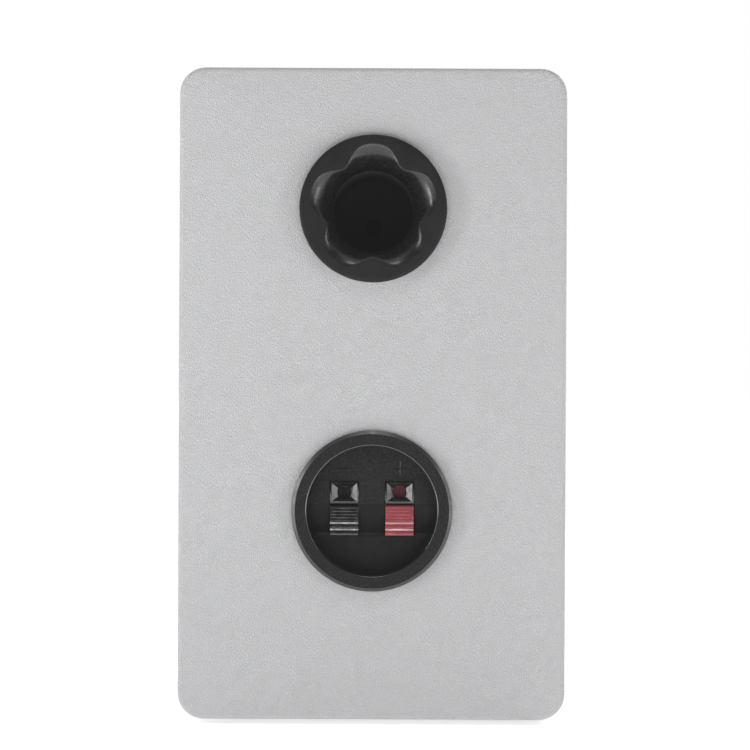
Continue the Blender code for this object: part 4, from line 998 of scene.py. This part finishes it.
def build_lever_springs():
    """Leaf springs: the spring nodes' meshes, finely subdivided, in spring steel."""
    for label in ("negative", "positive"):
        node = f"lever_spring_{label}"
        solid = bpy.data.objects[node]
        mesh = bmesh.new()
        mesh.from_mesh(solid.data)
        mesh.transform(solid.matrix_world)
        bmesh.ops.subdivide_edges(mesh, edges=mesh.edges[:], cuts=7, use_grid_fill=True)
        leaf = piece(f"lever_leaf_{label}", mesh, "spring_steel", body=None, stands_for=[node])
        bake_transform(leaf)


def build_tweeter():
    place = front_axis(TWEETER_Z)
    plate = in_mm([(38.0, -4.7)]) + arc((37.2 * MM, -0.5 * MM), 0.8 * MM, 0, 90, 6)
    plate += in_mm([(27.0, 0.3), (26.4, 0.25)])
    for i in range(13):
        share = i / 12
        plate.append(((25.8 - 9.4 * share) * MM, (0.1 - 3.9 * share ** 1.6) * MM))
    plate += in_mm([(15.9, -4.0), (15.6, -4.2), (15.6, -4.7)])
    piece("tweeter_face", turned(plate, 160), "faceplate", place,
          stands_for=["tweeter_faceplate"], sharp=40)
    outer = dome(12.4 * MM, -5.6 * MM, 4.6 * MM, 16)
    inner = dome(11.9 * MM, -5.6 * MM, 4.1 * MM, 16)
    piece("tweeter_silk", turned(outer[::-1] + inner, 96, ring=False), "silk_dome", place,
          body="tweeter_diaphragm", stands_for=["tweeter_dome"], sharp=60)
    roll = arc((14.0 * MM, -5.35 * MM), 1.35 * MM, 178, 2, 14)
    under = arc((14.0 * MM, -5.45 * MM), 1.05 * MM, 0, 180, 14)
    profile = in_mm([(12.3, -5.3)]) + roll + in_mm([(18.6, -5.0), (18.6, -5.6)])
    profile += under + in_mm([(12.3, -5.6)])
    suspension = piece("tweeter_roll", turned(profile, 96), "silk_dome", place, body=None,
                       stands_for=["tweeter_suspension"], sharp=50)
    blend_round(suspension)


def build_screws():
    """Pan-head screws with a cross recess."""
    for name, count in (("woofer", 4), ("tweeter", 3)):
        for number in range(1, count + 1):
            node = f"{name}_screw_{number}"
            low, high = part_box(node)
            centre = middle(node)
            radius = half_width(node)
            head = high.y - low.y
            profile = [(0.2 * MM, -head + 1.2 * MM), (1.3 * MM, -head + 3.4 * MM)]
            profile += [(1.3 * MM, -1.8 * MM), (radius - 0.1 * MM, -1.8 * MM), (radius, -1.5 * MM)]
            profile += arc((radius - 1.2 * MM, -1.3 * MM), 1.2 * MM, 5, 78, 8)
            profile += [(0.2 * MM, -0.02 * MM)]
            place = Matrix.Translation((centre.x, low.y, centre.z)) @ QUARTER
            screw = piece(f"{node}_head", turned(profile, 48, ring=False), "black_screw", place,
                          stands_for=[node], sharp=40)
            slots = []
            for turn in (20 * number, 20 * number + 90):
                bar = loft([rectangle(0.5 * MM, 2.2 * MM, -1.1 * MM),
                            rectangle(0.7 * MM, 3.0 * MM, 0.3 * MM)])
                slots.append(placed(bar, place @ Matrix.Rotation(math.radians(turn), 4, "Z")))
            carved(screw, slots)
            shade(screw, 35)


def build_leads():
    """Twisted red and black leads along the cables' routes."""
    board_low, board_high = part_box("crossover_board")
    middle_y = middle("crossover_board").y
    lie = board_high.z + GAP + LEAD_BUNDLE
    tabs_y = REAR_Y - TAB_REACH
    tabs_z = CUP_Z + TAB_RISE
    out = half_width("woofer_magnet") + 10 * MM
    strip_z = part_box("woofer_terminal_strip")[1].z + LEAD_BUNDLE + GAP
    strip_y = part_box("woofer_basket")[1].y
    tweeter_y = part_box("tweeter_yoke")[1].y + GAP
    routes = {
        "input_cable": [
            (0, tabs_y, tabs_z),
            (0, tabs_y - 6 * MM, tabs_z - 3 * MM),
            (0, tabs_y - 12 * MM, tabs_z - 22 * MM),
            (0, tabs_y - 12 * MM, (tabs_z + lie) / 2 - 8 * MM),
            (0, board_high.y - 3 * MM, lie + 10 * MM),
            (0, board_high.y - 12 * MM, lie),
        ],
        "woofer_cable": [
            (8 * MM, middle_y - 6 * MM, lie),
            (20 * MM, middle_y - 14 * MM, lie + 4 * MM),
            (out, board_low.y, lie + 26 * MM),
            (out, board_low.y - 8 * MM, WOOFER_Z),
            (30 * MM, strip_y + 12 * MM, strip_z + 2 * MM),
            (6 * MM, strip_y - 3 * MM, strip_z),
        ],
        "tweeter_cable": [
            (8 * MM, middle_y + 6 * MM, lie),
            (24 * MM, middle_y, lie + 6 * MM),
            (out + 4 * MM, middle_y - 6 * MM, lie + 40 * MM),
            (out + 2 * MM, middle_y - 12 * MM, WOOFER_Z + 45 * MM),
            (26 * MM, tweeter_y + 26 * MM, TWEETER_Z - 28 * MM),
            (14 * MM, tweeter_y + 8 * MM, TWEETER_Z - 19 * MM),
            (14 * MM, tweeter_y + LEAD_BUNDLE / 4, TWEETER_Z - 18 * MM),
        ],
    }
    for node, route in routes.items():
        name = node.replace("_cable", "_lead")
        for colour, phase in (("red", 0.0), ("black", math.pi)):
            wire = strand(route, LEAD_WIRE, LEAD_BUNDLE - LEAD_WIRE, LEAD_LAY, phase)
            piece(f"{name}_{colour}", wire, f"{colour}_jacket",
                  stands_for=[node] if colour == "red" else (), sharp=60)


def build_wadding():
    """The wadding batt: a soft-edged block with an uneven surface."""
    low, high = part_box("damping_pad")
    mesh = block(low, high)
    bmesh.ops.subdivide_edges(mesh, edges=mesh.edges, cuts=14, use_grid_fill=True)
    centre = middle("damping_pad")
    half = (high - low) / 2
    for vertex in mesh.verts:
        offset = vertex.co - centre
        share = Vector((offset.x / half.x, offset.y / half.y, offset.z / half.z))
        away = max(abs(share.y), abs(share.z))
        wave = math.sin(vertex.co.y * 410) * math.cos(vertex.co.z * 370) * 0.8 * MM
        vertex.co.x = centre.x + offset.x * (0.9 - 0.35 * away ** 6) + wave * (1 - away)
        vertex.co.y = centre.y + offset.y * (0.97 - 0.05 * abs(share.x) ** 2)
        vertex.co.z = centre.z + offset.z * (0.98 - 0.03 * abs(share.x) ** 2)
    pad = piece("wadding_batt", mesh, "wadding", stands_for=["damping_pad"],
                sharp=80)


# ---------------------------------------------------------------- studio

WORLD_ABOVE = 1.2
WORLD_LEVEL = 0.25
WORLD_AHEAD = 0.06
WORLD_ZENITH = 0.9
BLACK_LIFT = 0.011
FLOOR_GLOW = 0.5


def softbox(name, place, target, size, power):
    light = bpy.data.lights.new(name, "AREA")
    light.shape = "RECTANGLE"
    light.size, light.size_y = size
    light.energy = power
    lamp = bpy.data.objects.new(name, light)
    bpy.context.collection.objects.link(lamp)
    lamp.visible_camera = False
    lamp.location = place
    lamp.rotation_euler = (Vector(target) - Vector(place)).to_track_quat("-Z", "Y").to_euler()


def studio_world():
    """White overhead, dim on the camera's side; the camera itself always sees white."""
    world = bpy.data.worlds.new("studio")
    bpy.context.scene.world = world
    world.use_nodes = True
    tree = world.node_tree
    background = tree.nodes["Background"]
    way = tree.nodes.new("ShaderNodeTexCoord")
    parts = tree.nodes.new("ShaderNodeSeparateXYZ")
    tree.links.new(way.outputs["Generated"], parts.inputs["Vector"])

    overhead = map_range(tree, parts.outputs["Z"], 0.3, 0.65, WORLD_LEVEL, WORLD_ABOVE)
    zenith = map_range(tree, parts.outputs["Z"], 0.75, 0.95, WORLD_AHEAD, WORLD_ZENITH)
    ahead = map_range(tree, parts.outputs["Y"], -0.35, 0.45, 0.0, 0.0)
    tree.links.new(overhead.outputs["Result"], ahead.inputs["To Min"])
    tree.links.new(zenith.outputs["Result"], ahead.inputs["To Max"])
    seen = tree.nodes.new("ShaderNodeLightPath")
    pick = tree.nodes.new("ShaderNodeMix")
    pick.inputs["B"].default_value = 1.0
    tree.links.new(seen.outputs["Is Camera Ray"], pick.inputs["Factor"])
    tree.links.new(ahead.outputs["Result"], pick.inputs["A"])
    tree.links.new(pick.outputs["Result"], background.inputs["Color"])


def build_studio():
    view = bpy.context.scene.view_settings
    view.view_transform = "Standard"
    view.use_curve_mapping = True
    view.curve_mapping.black_level = (-BLACK_LIFT, -BLACK_LIFT, -BLACK_LIFT)
    view.curve_mapping.update()
    studio_world()
    aim = (0, REAR_Y, CABINET_Z)
    softbox("left_softbox", (0.43, REAR_Y + 0.22, 0.17), aim, (0.07, 0.34), 0.9)
    softbox("right_softbox", (-0.43, REAR_Y + 0.22, 0.17), aim, (0.07, 0.34), 0.48)
    softbox("top_softbox", (0, REAR_Y + 0.45, CABINET_Z + 0.75), aim, (0.3, 0.035), 0.85)
    softbox("front_key", (-0.5, FRONT_Y - 0.6, 0.5), (0, FRONT_Y, CABINET_Z), (0.3, 0.3), 3.0)
    softbox("low_softbox", (0, REAR_Y + 0.5, 0.03), (0, REAR_Y, 0.0), (0.5, 0.04), 0.5)
    floor_mesh = bmesh.new()
    bmesh.ops.create_grid(floor_mesh, x_segments=1, y_segments=1, size=12.0)
    floor = linked("floor", floor_mesh)
    look = Look("studio_floor", (0.96, 0.96, 0.96), 0.9, specular=0.1, Emission_Color=(1, 1, 1, 1),
                Emission_Strength=FLOOR_GLOW)
    look.tint(look.noise(3.0, 2.0), (0.95, 0.95, 0.95), (0.97, 0.97, 0.97))
    floor.data.materials.append(look.material)


def build_camera():
    """Straight at the rear panel from about a metre, a little above its middle."""
    camera = bpy.data.cameras.new("camera")
    camera.lens = 133.0
    camera.sensor_width = 36.0
    camera.clip_end = 50.0
    viewer = bpy.data.objects.new("camera", camera)
    bpy.context.collection.objects.link(viewer)
    viewer.location = (-0.9 * MM, REAR_Y + 1.0, CABINET_Z + 6.8 * MM)
    viewer.rotation_euler = (math.radians(90), math.radians(-0.27), math.radians(180))
    bpy.context.scene.camera = viewer


build_looks()
dress_carried_nodes()
build_cabinet()
build_feet()
build_port()
build_cup()
build_guides()
build_levers()
build_lever_springs()
build_woofer()
build_woofer_suspension()
build_tweeter()
build_screws()
build_leads()
build_wadding()
build_studio()
build_camera()
